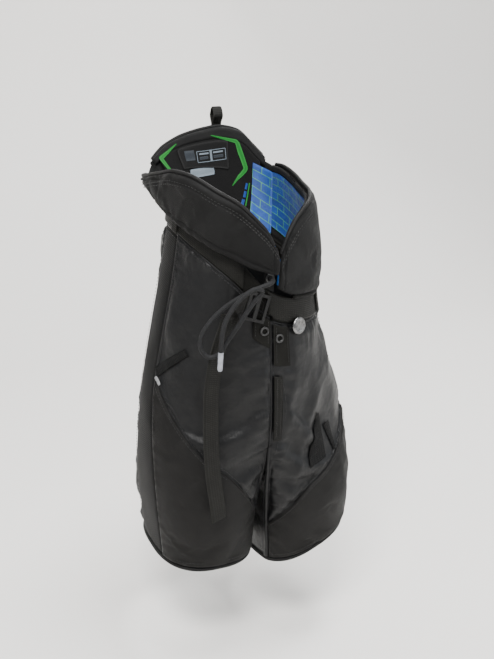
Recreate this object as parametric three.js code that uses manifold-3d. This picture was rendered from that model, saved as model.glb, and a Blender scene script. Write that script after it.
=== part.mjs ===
// Youth ice-hockey pants, hanging by the loop at the top of the back panel.
// Millimetres, +Z up, -Y is the wearer's front, +X is the wearer's left.
// The model is drawn with z = 0 at the right hem and then moved so that the hang loop is the origin.
import * as THREE from 'three';
import { mergeVertices } from 'three/addons/utils/BufferGeometryUtils.js';
import Module from 'manifold-3d';

const wasm = await Module();
wasm.setup();

// ---------------------------------------------------------------- driving dimensions

const WAIST_HALF_WIDTH = 80;
const WAIST_FRONT_DEPTH = 82;
const WAIST_BACK_DEPTH = 86;
const THIGH_HALF_WIDTH = 122;
const THIGH_FRONT_DEPTH = 87;
const SEAT_DEPTH = 98;
const HEM_HALF_WIDTH = 116;
const CROTCH_FALL = 0.52;          // share of the height from waist to hem at which the legs part
const LEG_GAP = 7;                 // clear gap between the two legs at the hem
const LEG_CORNER = 0.62;           // bearing, in radians, of the inner leg seams round each leg
const LEG_SQUARENESS = 2.6;        // superellipse exponent of a leg
const LEFT_HEM_DROP = 22;          // how far the left hem's inner edge hangs below the right hem
const LEFT_HEM_SLOPE = 0.45;       // how fast the left hem rises outward

const SEAM_GAP = 0.4;              // between panels sewn edge to edge
const LAYER_GAP = 0.7;             // between layers lying on each other
const SHELL_THICKNESS = 3;
const GUARD_LIFT = 2;              // how far a thigh guard stands proud of the shell
const PLATE_THICKNESS = 2.2;
const PAD_THICKNESS = 6;
const WRAP_THICKNESS = 8;
const BACK_THICKNESS = 8;
const LINING_THICKNESS = 1.6;
const LABEL_THICKNESS = 0.6;
const PIPING_RADIUS = 2.2;
const HEM_RADIUS = 2.6;

const WAISTBAND_HEIGHT = 30;
const WAISTBAND_THICKNESS = 3.4;
const BELT_WIDTH = 25;
const BELT_THICKNESS = 1.8;
const BELT_LIFT = 2.4;             // outer face of the belt above the waistband's outer face
const BELT_DROP = 1.5;             // top edge of the belt below the waist seam
const LOOP_WIDTH = 10;
const LOOP_THICKNESS = 1.4;
const TAIL_WIDTH = 20;
const TAIL_THICKNESS = 1.6;
const BUCKLE_SIZE = [23, 31, 3];
const BUCKLE_BAR = 4;
const BUCKLE_RIM = 3.2;
const BUCKLE_X = -17;
const BUCKLE_Z = 301;
const BUCKLE_TURN = -0.066;        // bearing of the buckle's middle
const BUCKLE_SLANT = 0.3;
const LACE_DIAMETER = 5;
const AGLET_LENGTH = 20;
const EYELET_RADIUS = 5;
const EYELET_BORE = 2.9;
const BUTTON_RADIUS = 9.5;
const BUTTON_HEIGHT = 7.2;
const HANG_LOOP_WIDTH = 12;
const HANG_LOOP_THICKNESS = 1.6;
const HANG_LOOP_OPENING = 13;
const HANG_LOOP_RISE = 24;
const HANG_LOOP_COLUMN = 0.44;     // share of the way across the back panel
const BACK_STAND_OFF = 1.5;
const BACK_BULGE = 4;
const WRAP_BULGE = 3;
// The right wrap lies over the belt and its loops, the left one above the belt.
const RIGHT_WRAP_STAND_OFF = BELT_LIFT + LAYER_GAP + LOOP_THICKNESS + WRAP_THICKNESS + 1.6;
const LEFT_WRAP_STAND_OFF = 6;

// Metal pieces on the front: eyelets as x, z and lift; the tack button as x and z.
const EYELETS = {
  upper_eyelet: [-2, 331, 1.8],
  lower_right_eyelet: [-9, 274, 3.2],
  lower_left_eyelet: [8, 264, 3.2],
};
const BRACE_BUTTONS = {
  front_left: [31, 274],
};

const TURN_STEP = 1 / 24;          // of half a turn, between grid lines round the body
const FALL_STEP = 1 / 12;          // of the height from waist to hem

// Height of the waist seam above the right hem at every twelfth of a turn, from the centre
// front round by the wearer's left. The right hip hangs higher than the left.
const WAIST_HEIGHTS = [316, 305, 303, 312, 331, 352, 370, 385, 400, 404, 388, 359];

// The two hip wraps and the back panel. At each bearing, in half turns with the wearer's left
// positive: how far the lower edge (foot) and the upper edge (rise) are above the waist seam,
// and how far the upper edge flares out from it.
const RIGHT_WRAP_EDGE = [
  { turn: -0.77, foot: -4, flare: 42, rise: 24 },
  { turn: -0.69, foot: -6, flare: 36, rise: 21 },
  { turn: -0.59, foot: -8, flare: 26, rise: 23 },
  { turn: -0.49, foot: -10, flare: 18, rise: 31 },
  { turn: -0.4, foot: -11, flare: 17, rise: 44 },
  { turn: -0.3, foot: -11, flare: 18, rise: 54 },
  { turn: -0.205, foot: -8, flare: 19, rise: 57 },
  { turn: -0.115, foot: 1, flare: 18, rise: 62 },
  { turn: -0.04, foot: 14, flare: 17, rise: 61 },
  { turn: 0.013, foot: 21, flare: 15, rise: 48 },
];
const LEFT_WRAP_EDGE = [
  { turn: 0.022, foot: 5, flare: 8, rise: 39 },
  { turn: 0.06, foot: 3, flare: 9, rise: 64 },
  { turn: 0.115, foot: 0.6, flare: 7, rise: 84 },
  { turn: 0.2, foot: 0.6, flare: 4, rise: 98 },
  { turn: 0.345, foot: 0.6, flare: -2, rise: 106 },
  { turn: 0.5, foot: 0.6, flare: -3, rise: 102 },
  { turn: 0.61, foot: 0.6, flare: 6, rise: 95 },
  { turn: 0.7, foot: 0.6, flare: 19, rise: 88 },
  { turn: 0.75, foot: 0.6, flare: 30, rise: 80 },
];
const BACK_EDGE = [
  { turn: 0.8, foot: 0.1, flare: 47, rise: 76 },
  { turn: 0.85, foot: 0.1, flare: 45, rise: 90 },
  { turn: 0.895, foot: 0.1, flare: 40, rise: 101 },
  { turn: 0.95, foot: 0.1, flare: 36, rise: 100 },
  { turn: 1.02, foot: 0.1, flare: 34, rise: 90 },
  { turn: 1.09, foot: 0.1, flare: 37, rise: 77 },
  { turn: 1.15, foot: 0.1, flare: 43, rise: 60 },
  { turn: 1.2, foot: 0.1, flare: 46, rise: 39 },
];

// Routes: the belt's free tail, which starts at the buckle's edge, and the lace.
const BUCKLE_EDGE = BUCKLE_X - BUCKLE_SIZE[0] / 2;
const TAIL_UPPER_ROUTE = [
  [BUCKLE_EDGE - 1.5, -85, 304.8], [BUCKLE_EDGE - 7.5, -87, 306.8],
  [BUCKLE_EDGE - 17.5, -93, 303], [-58, -99, 286], [-67, -101, 264], [-72, -101, 241],
];
const TAIL_LOWER_ROUTE = [
  [-72.3, -101, 239.6], [-75, -101, 222], [-76, -101, 196], [-76, -101, 160], [-74, -101, 124],
  [-70, -101, 92], [-67, -101, 68],
];
const LACE_ROUTE = [
  [-2, -86, 331], [-3, -94, 331], [-10, -103, 331], [-26, -107, 328], [-44, -106, 321],
  [-60, -103, 311], [-74, -102, 299], [-85, -102, 284], [-87, -103, 270], [-80, -107, 261],
  [-69, -109, 264], [-60, -107, 275], [-50, -110, 290], [-40, -112, 306], [-30, -113, 319],
  [-24, -115, 327], [-32, -117, 331], [-44, -116, 325], [-56, -115, 313], [-65, -115, 298],
  [-69, -116, 282], [-70, -116, 268],
];

// ---------------------------------------------------------------- small mathematics

const lerp = THREE.MathUtils.lerp;
const smooth = (t, low, high) => THREE.MathUtils.smoothstep(t, low, high);
const vec = (x, y, z) => new THREE.Vector3(x, y, z);

// A smooth curve through evenly spaced values, read at t from 0 to 1. A closed one comes round
// to its first value again at 1.
function throughValues(values, t, closed = false) {
  const count = values.length;
  const spans = closed ? count : count - 1;
  const place = closed ? (((t % 1) + 1) % 1) * spans : THREE.MathUtils.clamp(t, 0, 1) * spans;
  const index = Math.min(Math.floor(place), spans - 1);
  const at = (k) => (closed
    ? values[(index + k + count) % count]
    : values[THREE.MathUtils.clamp(index + k, 0, count - 1)]);
  const f = place - index;
  const slope = (at(1) - at(-1)) * f;
  const bend = (2 * at(-1) - 5 * at(0) + 4 * at(1) - at(2)) * f * f;
  const twist = (3 * at(0) - at(-1) - 3 * at(1) + at(2)) * f * f * f;
  return (2 * at(0) + slope + bend + twist) / 2;
}

const signedPower = (value, power) => Math.sign(value) * Math.abs(value) ** power;

// ---------------------------------------------------------------- the body's skin

// Half widths and depths of the body at even steps of the fall from waist to hem.
const WIDTHS = [
  WAIST_HALF_WIDTH,
  lerp(WAIST_HALF_WIDTH, THIGH_HALF_WIDTH, 0.22),
  lerp(WAIST_HALF_WIDTH, THIGH_HALF_WIDTH, 0.55),
  lerp(WAIST_HALF_WIDTH, THIGH_HALF_WIDTH, 0.86),
  THIGH_HALF_WIDTH,
  lerp(THIGH_HALF_WIDTH, HEM_HALF_WIDTH, 0.1),
  HEM_HALF_WIDTH,
];
const FRONT_DEPTHS = [
  WAIST_FRONT_DEPTH,
  lerp(WAIST_FRONT_DEPTH, THIGH_FRONT_DEPTH, 0.5),
  THIGH_FRONT_DEPTH,
  THIGH_FRONT_DEPTH,
  THIGH_FRONT_DEPTH,
  THIGH_FRONT_DEPTH - 2,
  THIGH_FRONT_DEPTH - 6,
];
const BACK_DEPTHS = [
  WAIST_BACK_DEPTH,
  lerp(WAIST_BACK_DEPTH, SEAT_DEPTH, 0.7),
  SEAT_DEPTH,
  SEAT_DEPTH - 1,
  SEAT_DEPTH - 5,
  SEAT_DEPTH - 9,
  SEAT_DEPTH - 14,
];

const waistHeight = (turn) => throughValues(WAIST_HEIGHTS, turn / 2, true);
const hemHeight = (side, x) => (side < 0 ? 0 : (Math.abs(x) - 8) * LEFT_HEM_SLOPE - LEFT_HEM_DROP);
const edgeOffset = (fall) => SEAM_GAP + (HEM_CORNER_X - SEAM_GAP) * smooth(fall, CROTCH_FALL, 1);
const legCentre = (HEM_HALF_WIDTH + LEG_GAP / 2) / 2;
const legReach = (HEM_HALF_WIDTH - LEG_GAP / 2) / 2;
const HEM_CORNER_X = legCentre - legReach * signedPower(Math.cos(LEG_CORNER), 2 / LEG_SQUARENESS);

// A point of the skin: turn runs from the centre front (0) by the left side (0.5) to the centre
// back (1), and by the right side to -1; fall runs from the waist seam (0) to the hem (1).
function skin(turn, fall) {
  let bearing = turn;
  if (bearing > 1) bearing -= 2;
  if (bearing < -1) bearing += 2;
  const side = bearing < 0 ? -1 : 1;
  const u = Math.abs(bearing);
  const width = throughValues(WIDTHS, fall);
  const front = throughValues(FRONT_DEPTHS, fall);
  const back = throughValues(BACK_DEPTHS, fall);
  const edge = edgeOffset(fall);
  const spreadShare = smooth(fall, 0.2, 0.85);
  const creaseShare = smooth(fall, 0.45, 0.9);

  const legAngle = LEG_CORNER + (2 * Math.PI - 2 * LEG_CORNER) * u;
  const power = 2 / LEG_SQUARENESS;
  const cornerCos = signedPower(Math.cos(LEG_CORNER), power);
  const legAcross = (cornerCos - signedPower(Math.cos(legAngle), power)) / (cornerCos + 1);
  const legAlong = signedPower(Math.sin(legAngle), power);
  const across = lerp(Math.sin(Math.PI * u), legAcross, spreadShare);
  const along = lerp(Math.cos(Math.PI * u), legAlong, creaseShare);

  const x = side * (edge + (width - edge) * across);
  const y = along > 0 ? -front * along : -back * along;
  const z = lerp(waistHeight(bearing), hemHeight(side, x), fall);
  return vec(x, y, z);
}

// The inner leg: from the front inner seam (0) to the back inner seam (1).
function innerLeg(side, along, fall) {
  const front = skin(side * 1e-6, fall);
  const back = skin(side * (1 - 1e-6), fall);
  const edge = edgeOffset(fall);
  const nearest = lerp(SEAM_GAP, LEG_GAP / 2, smooth(fall, CROTCH_FALL, 1));
  const x = edge - (edge - nearest) * Math.sin(Math.PI * along) ** 0.7;
  return vec(side * x, lerp(front.y, back.y, along), lerp(front.z, back.z, along));
}

// The place on the front skin at a given x and z, lifted off it by a given distance.
function onFront(x, z, lift = 0) {
  const side = x < 0 ? -1 : 1;
  let low = 0;
  let high = 0.5;
  const fallAt = (u) => {
    const top = waistHeight(side * u);
    return Math.min(1, (top - z) / (top - hemHeight(side, x)));
  };
  for (let i = 0; i < 24; i += 1) {
    const middle = (low + high) / 2;
    if (Math.abs(skin(side * middle, fallAt(middle)).x) < Math.abs(x)) low = middle;
    else high = middle;
  }
  const turn = side * low;
  const fall = fallAt(low);
  const normal = normalOf(skin, turn, fall, -1);
  return { point: skin(turn, fall).addScaledVector(normal, lift), normal };
}

// ---------------------------------------------------------------- geometry builders

function normalOf(surface, u, v, sense) {
  const step = 1e-3;
  const du = surface(u + step, v).sub(surface(u - step, v));
  const dv = surface(u, v + step).sub(surface(u, v - step));
  return du.cross(dv).normalize().multiplyScalar(sense);
}

function solidFrom(points, faces) {
  const geometry = new THREE.BufferGeometry();
  geometry.setAttribute('position', new THREE.Float32BufferAttribute(points.flatMap((p) => p.toArray()), 3));
  let volume = 0;
  for (const [a, b, c] of faces) volume += points[a].dot(points[b].clone().cross(points[c]));
  geometry.setIndex((volume < 0 ? faces.map(([a, b, c]) => [a, c, b]) : faces).flat());
  geometry.computeVertexNormals();
  return geometry;
}

const quad = (a, b, c, d) => [[a, b, c], [a, c, d]];

// A layer of even thickness on a grid of places, each a point with its outward normal: an outer
// and an inner skin joined round the rim. The outer skin stands `lift` off the grid.
function layer(grid, { lift = 0, thickness }) {
  const rows = grid.length;
  const columns = grid[0].length;
  const skins = [lift, lift - thickness];
  const points = skins.flatMap((depth) => grid.flat()
    .map(({ point, normal }) => point.clone().addScaledVector(normal, depth)));
  const inner = rows * columns;
  const faces = [];
  for (let j = 0; j + 1 < rows; j += 1) {
    for (let i = 0; i + 1 < columns; i += 1) {
      const a = j * columns + i;
      const below = a + columns;
      faces.push(...quad(a, a + 1, below + 1, below));
      faces.push(...quad(inner + a, inner + below, inner + below + 1, inner + a + 1));
    }
  }
  const rim = [];
  for (let i = 0; i < columns; i += 1) rim.push(i);
  for (let j = 1; j < rows; j += 1) rim.push(j * columns + columns - 1);
  for (let i = columns - 2; i >= 0; i -= 1) rim.push((rows - 1) * columns + i);
  for (let j = rows - 2; j > 0; j -= 1) rim.push(j * columns);
  rim.forEach((a, k) => {
    const b = rim[(k + 1) % rim.length];
    faces.push(...quad(a, inner + a, inner + b, b));
  });
  return solidFrom(points, faces);
}

function surfaceGrid(surface, us, vs, sense = 1) {
  return vs.map((v) => us.map((u) => ({ point: surface(u, v), normal: normalOf(surface, u, v, sense) })));
}

// Lines from a to b, on whole multiples of the step in between.
function stops(a, b, step) {
  const lines = [a];
  for (let k = Math.ceil(a / step + 0.3); k * step < b - 0.3 * step; k += 1) lines.push(k * step);
  lines.push(b);
  return lines;
}

const evenly = (count) => Array.from({ length: count + 1 }, (_, i) => i / count);
const level = (falls) => falls.map((fall) => () => fall);
const between = (upper, lower, shares) => shares.map((share) => (turn) => lerp(upper(turn), lower(turn), share));

// A panel of the body between two bearings. Each fall line is a function of the bearing.
function bodyPanel([from, to], fallLines, options) {
  const turns = stops(from, to, TURN_STEP);
  const grid = fallLines.map((fallLine) => turns.map((turn) => {
    const fall = fallLine(turn);
    return { point: skin(turn, fall), normal: normalOf(skin, turn, fall, -1) };
  }));
  return layer(grid, options);
}

// The fall that lies a given number of millimetres below the waist seam.
const fallBelow = (depth) => (turn) => {
  const side = turn < 0 || turn > 1 ? -1 : 1;
  return depth / (waistHeight(turn) - hemHeight(side, THIGH_HALF_WIDTH / 2));
};

// The surface of a hip wrap or the back panel, from its lower edge (0) to its upper edge (1).
function edgeSurface(edge, standOff, bulge) {
  const read = (key) => {
    const curve = new THREE.CatmullRomCurve3(edge.map((e) => vec(e.turn * 100, e[key], 0)));
    return (t) => curve.getPoint(t);
  };
  const [footAt, riseAt, flareAt] = ['foot', 'rise', 'flare'].map(read);
  return (u, v) => {
    const t = THREE.MathUtils.clamp(u, 0, 1);
    const waist = skin(footAt(t).x / 100, 0);
    const outward = vec(waist.x, waist.y, 0).normalize();
    const out = lerp(standOff, flareAt(t).y, v) + bulge * Math.sin(Math.PI * v);
    return waist.addScaledVector(outward, out).add(vec(0, 0, lerp(footAt(t).y, riseAt(t).y, v)));
  };
}

function roundSection(radius, sides) {
  const corners = evenly(sides).slice(0, -1).map((t) => t * 2 * Math.PI);
  return new THREE.Shape(corners.map((a) => new THREE.Vector2(radius * Math.cos(a), radius * Math.sin(a))));
}

function tube(points, radius, steps, sides = 8) {
  const extrudePath = new THREE.CatmullRomCurve3(points);
  return new THREE.ExtrudeGeometry(roundSection(radius, sides), { steps, extrudePath });
}

// A round rope joined end to end along a closed outline.
function hoop(outline, count, radius, sides) {
  const points = [];
  for (let i = 0; i < count; i += 1) {
    const t = i / count;
    const ahead = outline((t + 1e-3) % 1).sub(outline((t - 1e-3 + 1) % 1)).normalize();
    const across = ahead.clone().cross(vec(0, 0, 1)).normalize();
    const up = across.clone().cross(ahead);
    for (let k = 0; k < sides; k += 1) {
      const angle = (k / sides) * 2 * Math.PI;
      points.push(outline(t)
        .addScaledVector(across, radius * Math.cos(angle))
        .addScaledVector(up, radius * Math.sin(angle)));
    }
  }
  const faces = [];
  for (let i = 0; i < count; i += 1) {
    const next = ((i + 1) % count) * sides;
    for (let k = 0; k < sides; k += 1) {
      const beside = (k + 1) % sides;
      faces.push(...quad(i * sides + k, next + k, next + beside, i * sides + beside));
    }
  }
  return solidFrom(points, faces);
}

// A flat strap along a route. Its width lies along `across`, squared to the route at each step.
function strap(route, width, thickness, steps, across) {
  const path = new THREE.CatmullRomCurve3(route);
  const shares = evenly(steps);
  const grid = shares.map((share) => {
    const ahead = path.getTangentAt(share);
    const normal = across(share).cross(ahead).normalize();
    const side = ahead.clone().cross(normal).normalize();
    return [-0.5, 0.5].map((k) => ({
      point: path.getPointAt(share).addScaledVector(side, k * width),
      normal,
    }));
  });
  return layer(grid, { lift: thickness / 2, thickness });
}

function solidOf(geometry) {
  const bare = geometry.clone();
  for (const name of ['normal', 'uv']) bare.deleteAttribute(name);
  const welded = mergeVertices(bare);
  const triVerts = new Uint32Array(welded.index.array);
  const vertProperties = new Float32Array(welded.attributes.position.array);
  return new wasm.Manifold(new wasm.Mesh({ numProp: 3, vertProperties, triVerts }));
}

function cut(body, tools) {
  const mesh = tools.reduce((solid, tool) => solid.subtract(solidOf(tool)), solidOf(body)).getMesh();
  const geometry = new THREE.BufferGeometry();
  geometry.setAttribute('position', new THREE.BufferAttribute(mesh.vertProperties.slice(), 3));
  geometry.setIndex([...mesh.triVerts]);
  geometry.computeVertexNormals();
  return geometry;
}

// A turned piece from [radius, height] pairs, with its axis along `normal` from `base`.
function turned(profile, sides, base, normal) {
  const geometry = new THREE.LatheGeometry(profile.map(([r, h]) => new THREE.Vector2(r, h)), sides);
  geometry.applyQuaternion(new THREE.Quaternion().setFromUnitVectors(vec(0, 1, 0), normal));
  geometry.translate(base.x, base.y, base.z);
  return geometry;
}

// ---------------------------------------------------------------- materials and assembly

const FINISHES = {
  nylon: { color: 0x1a1b1e, roughness: 0.55, metalness: 0 },
  guard: { color: 0x202226, roughness: 0.75, metalness: 0 },
  mesh: { color: 0x101113, roughness: 0.9, metalness: 0 },
  wrap: { color: 0x27292d, roughness: 0.8, metalness: 0 },
  print: { color: 0x1879c9, roughness: 0.7, metalness: 0 },
  lining: { color: 0x0c0c0e, roughness: 0.85, metalness: 0 },
  label: { color: 0x8fa3ad, roughness: 0.6, metalness: 0 },
  piping: { color: 0x34373c, roughness: 0.6, metalness: 0 },
  webbing: { color: 0x1d1e1c, roughness: 0.8, metalness: 0 },
  plastic: { color: 0x151618, roughness: 0.4, metalness: 0 },
  hard_plate: { color: 0xd8dadb, roughness: 0.45, metalness: 0 },
  foam: { color: 0x9aa0a4, roughness: 0.95, metalness: 0 },
  lace: { color: 0x2e3238, roughness: 0.8, metalness: 0 },
  aglet: { color: 0xaeb6bc, roughness: 0.3, metalness: 0 },
  metal: { color: 0xa9adb0, roughness: 0.3, metalness: 1 },
};

const model = new THREE.Group();

function add(name, geometry, finish) {
  if (geometry.attributes.uv) geometry.deleteAttribute('uv');
  geometry.deleteAttribute('normal');
  const welded = mergeVertices(geometry, 1e-4);
  welded.computeVertexNormals();
  const mesh = new THREE.Mesh(welded, new THREE.MeshStandardMaterial(FINISHES[finish]));
  mesh.name = name;
  model.add(mesh);
}

const SIDES = [['right', -1], ['left', 1]];
const FRONT_SIDE_SEAM = 0.43;      // bearing of the seam between front and side panels
const REAR_SIDE_SEAM = 0.58;
const SEAM_TURN = 0.0018;          // half a seam gap, as a bearing
const SEAM_FALL = 0.0012;          // half a seam gap, as a fall

// The seam over each thigh guard falls from the outside of the thigh to the inner knee.
const guardSeam = {
  right: (turn) => lerp(0.86, 0.46, Math.abs(turn / FRONT_SIDE_SEAM) ** 0.95),
  left: (turn) => lerp(0.86, 0.55, Math.abs(turn / FRONT_SIDE_SEAM) ** 0.95),
};

// A span of bearings on one side, in rising order whichever the side.
const span = (side, a, b) => (side > 0 ? [a, b] : [-b, -a]);

function shells(name, side) {
  const seam = guardSeam[name];
  const belowBand = fallBelow(WAISTBAND_HEIGHT + SEAM_GAP);
  const toHem = [belowBand, ...level(stops(2 * FALL_STEP, 1, FALL_STEP))];
  const shell = { thickness: SHELL_THICKNESS };
  const front = span(side, SEAM_TURN, FRONT_SIDE_SEAM - SEAM_TURN);
  const aboveSeam = between(belowBand, (turn) => seam(turn) - SEAM_FALL, evenly(7));
  const belowSeam = between((turn) => seam(turn) + SEAM_FALL, () => 1, evenly(5));
  const sidePanel = span(side, FRONT_SIDE_SEAM + SEAM_TURN, REAR_SIDE_SEAM - SEAM_TURN);
  const rear = span(side, REAR_SIDE_SEAM + SEAM_TURN, 1 - SEAM_TURN);
  add(`${name}_front_shell`, bodyPanel(front, aboveSeam, shell), 'nylon');
  add(`${name}_side_panel`, bodyPanel(sidePanel, toHem, shell), 'mesh');
  add(`${name}_rear_shell`, bodyPanel(rear, toHem, shell), 'nylon');
  const guard = { thickness: SHELL_THICKNESS + GUARD_LIFT, lift: GUARD_LIFT };
  add(`${name}_thigh_guard`, bodyPanel(front, belowSeam, guard), 'guard');
}

// Foam and a hard plate behind it, lying on the inside of the shell.
const insideFoam = { thickness: PAD_THICKNESS, lift: -SHELL_THICKNESS - LAYER_GAP };
const insidePlate = { thickness: PLATE_THICKNESS, lift: insideFoam.lift - PAD_THICKNESS - LAYER_GAP };

function guards(name, side) {
  const seam = guardSeam[name];
  const thigh = span(side, 2 * TURN_STEP, 9 * TURN_STEP);
  const thighLines = between(seam, () => 1, [0.05, 0.2, 0.4, 0.6, 0.8, 0.95]);
  add(`${name}_thigh_pad`, bodyPanel(thigh, thighLines, insideFoam), 'foam');
  add(`${name}_thigh_plate`, bodyPanel(thigh, thighLines, insidePlate), 'hard_plate');
  const hip = span(side, 10.5 * TURN_STEP, 15 * TURN_STEP);
  const hipLines = level(stops(2 * FALL_STEP, 6 * FALL_STEP, FALL_STEP));
  add(`${name}_hip_pad`, bodyPanel(hip, hipLines, insideFoam), 'foam');
  add(`${name}_hip_plate`, bodyPanel(hip, hipLines, insidePlate), 'hard_plate');
}

function tailbone() {
  const across = [20 * TURN_STEP, 28 * TURN_STEP];
  const lines = level(stops(2 * FALL_STEP, 5 * FALL_STEP, FALL_STEP));
  add('tailbone_pad', bodyPanel(across, lines, insideFoam), 'foam');
  add('tailbone_plate', bodyPanel(across, lines, insidePlate), 'hard_plate');
}

function innerLegs(name, side) {
  const falls = [CROTCH_FALL + SEAM_FALL, 0.6, 0.7, 0.8, 0.9, 1];
  const along = [0.035, ...evenly(10).slice(1, -1), 0.965];
  const grid = surfaceGrid((u, v) => innerLeg(side, u, v), along, falls, side);
  add(`${name}_gusset`, layer(grid, { thickness: SHELL_THICKNESS }), 'nylon');
}

// The bound hem of a leg: a soft round edge just below the panels.
function hem(name, side) {
  const outerShare = 0.78;
  const outline = (t) => {
    const place = t < outerShare
      ? skin(side * THREE.MathUtils.clamp(t / outerShare, 1e-6, 1 - 1e-6), 1)
      : innerLeg(side, 1 - (t - outerShare) / (1 - outerShare), 1);
    const inward = vec(side * legCentre - place.x, -place.y, 0).normalize();
    return place.addScaledVector(inward, SHELL_THICKNESS / 2).add(vec(0, 0, -HEM_RADIUS - SEAM_GAP));
  };
  add(`${name}_hem_binding`, hoop(outline, 44, HEM_RADIUS, 6), 'piping');
}

function waistband() {
  const band = { thickness: WAISTBAND_THICKNESS };
  const lines = [fallBelow(SEAM_GAP), fallBelow(WAISTBAND_HEIGHT - SEAM_GAP)];
  add('right_waistband', bodyPanel([-1 + SEAM_TURN, -SEAM_TURN], lines, band), 'webbing');
  add('left_waistband', bodyPanel([SEAM_TURN, 1 - SEAM_TURN], lines, band), 'webbing');
}

const WRAP_COLUMNS = evenly(22);

function wrap(name, edge, standOff, liningShares) {
  const surface = edgeSurface(edge, standOff, WRAP_BULGE);
  const outer = surfaceGrid(surface, WRAP_COLUMNS, evenly(4));
  add(`${name}_hip_wrap`, layer(outer, { thickness: WRAP_THICKNESS }), 'wrap');
  const inner = surfaceGrid(surface, WRAP_COLUMNS.slice(1, -1), liningShares);
  const lining = { thickness: LINING_THICKNESS, lift: -WRAP_THICKNESS - LAYER_GAP };
  add(`${name}_wrap_lining`, layer(inner, lining), 'print');
  add(`${name}_wrap_piping`, pipingOn(surface, WRAP_THICKNESS), 'piping');
}

// A round piping on the upper edge of a padded piece, in the middle of its thickness.
function pipingOn(surface, thickness) {
  const points = evenly(20).map((t) => {
    const u = lerp(0.03, 0.97, t);
    const edgePoint = surface(u, 1);
    const normal = normalOf(surface, u, 0.99, 1);
    const rise = normal.clone().cross(surface(u + 0.01, 1).sub(surface(u - 0.01, 1))).normalize();
    return edgePoint
      .addScaledVector(normal, -thickness / 2)
      .addScaledVector(rise, PIPING_RADIUS + LAYER_GAP);
  });
  return tube(points, PIPING_RADIUS, 30, 6);
}

function backPanel() {
  const surface = edgeSurface(BACK_EDGE, BACK_STAND_OFF, BACK_BULGE);
  const columns = evenly(18);
  const rows = evenly(6);
  const panel = surfaceGrid(surface, columns, rows);
  const part = (fromColumn, fromRow, toRow) => panel.slice(fromRow, toRow)
    .map((row) => row.slice(fromColumn, columns.length - fromColumn));
  add('back_panel', layer(panel, { thickness: BACK_THICKNESS }), 'wrap');
  add('back_panel_piping', pipingOn(surface, BACK_THICKNESS), 'piping');
  const plate = { thickness: PLATE_THICKNESS, lift: -BACK_THICKNESS - LAYER_GAP };
  add('spine_plate', layer(part(4, 1, 6), plate), 'hard_plate');
  const lining = { thickness: LINING_THICKNESS, lift: plate.lift - PLATE_THICKNESS - LAYER_GAP };
  const liningRows = [0.12, ...rows.slice(1, -1), 0.96];
  add('back_lining', layer(surfaceGrid(surface, columns.slice(1, -1), liningRows), lining), 'lining');
  const label = { thickness: LABEL_THICKNESS, lift: lining.lift - LINING_THICKNESS - LAYER_GAP };
  add('size_label', layer(part(7, 3, 6).map((row) => row.slice(0, 8)), label), 'label');
}

// ---------------------------------------------------------------- belt, buckle and loops

function belt() {
  const webbing = { thickness: BELT_THICKNESS, lift: BELT_LIFT };
  const lines = [fallBelow(BELT_DROP), fallBelow(BELT_DROP + BELT_WIDTH)];
  add('waist_belt', bodyPanel([BUCKLE_TURN + 0.05, 2 + BUCKLE_TURN - 0.05], lines, webbing), 'webbing');
}

// Belt loops: flat carriers over the belt, held to the waistband above and below it.
const BELT_LOOPS = { front_left: 0.31, rear_left: 0.72, rear_right: -0.72, front_right: -0.44 };

function beltLoops() {
  const loopLift = BELT_LIFT + LAYER_GAP + LOOP_THICKNESS;
  for (const [place, turn] of Object.entries(BELT_LOOPS)) {
    const half = LOOP_WIDTH / 2 / (Math.PI * WAIST_HALF_WIDTH);
    const lines = [fallBelow(0.8), fallBelow(BELT_DROP + BELT_WIDTH + LAYER_GAP + 1)];
    const carrier = { thickness: LOOP_THICKNESS, lift: loopLift };
    add(`${place}_belt_loop`, bodyPanel([turn - half, turn + half], lines, carrier), 'webbing');
  }
}

// A flat ladder buckle in front of the belt's two ends, with a centre bar between two windows.
function buckle() {
  const [width, height, thickness] = BUCKLE_SIZE;
  const windowWidth = (width - 2 * BUCKLE_RIM - BUCKLE_BAR) / 2;
  const windowOffset = (windowWidth + BUCKLE_BAR) / 2;
  const windows = [-1, 1].map((side) => {
    const window = new THREE.BoxGeometry(windowWidth, height - 2 * BUCKLE_RIM, 3 * thickness);
    return window.translate(side * windowOffset, 0, 0);
  });
  const frame = cut(new THREE.BoxGeometry(width, height, thickness), windows);
  const { point, normal } = onFront(BUCKLE_X, BUCKLE_Z, BELT_LIFT + LAYER_GAP + thickness / 2);
  frame.rotateZ(-BUCKLE_SLANT);
  frame.applyMatrix4(new THREE.Matrix4().lookAt(normal, vec(0, 0, 0), vec(0, 0, 1)));
  frame.translate(point.x, point.y, point.z);
  add('buckle_frame', frame, 'plastic');
}

// The free end of the belt: a tucked upper run that turns over, and the run that hangs below it.
function beltTail() {
  const flat = vec(1, 0.25, 0);
  const tucked = vec(0.3, 0, 0.95);
  const upperAcross = (share) => tucked.clone().lerp(flat, smooth(share, 0, 0.7));
  const [upperRoute, lowerRoute] = [TAIL_UPPER_ROUTE, TAIL_LOWER_ROUTE]
    .map((route) => route.map((place) => vec(...place)));
  const upper = strap(upperRoute, TAIL_WIDTH, TAIL_THICKNESS, 8, upperAcross);
  const lower = strap(lowerRoute, TAIL_WIDTH, TAIL_THICKNESS, 16, () => flat.clone());
  add('belt_tail_upper', upper, 'webbing');
  add('belt_tail_lower', lower, 'webbing');
}

// ---------------------------------------------------------------- fly, lace and eyelets

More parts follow.
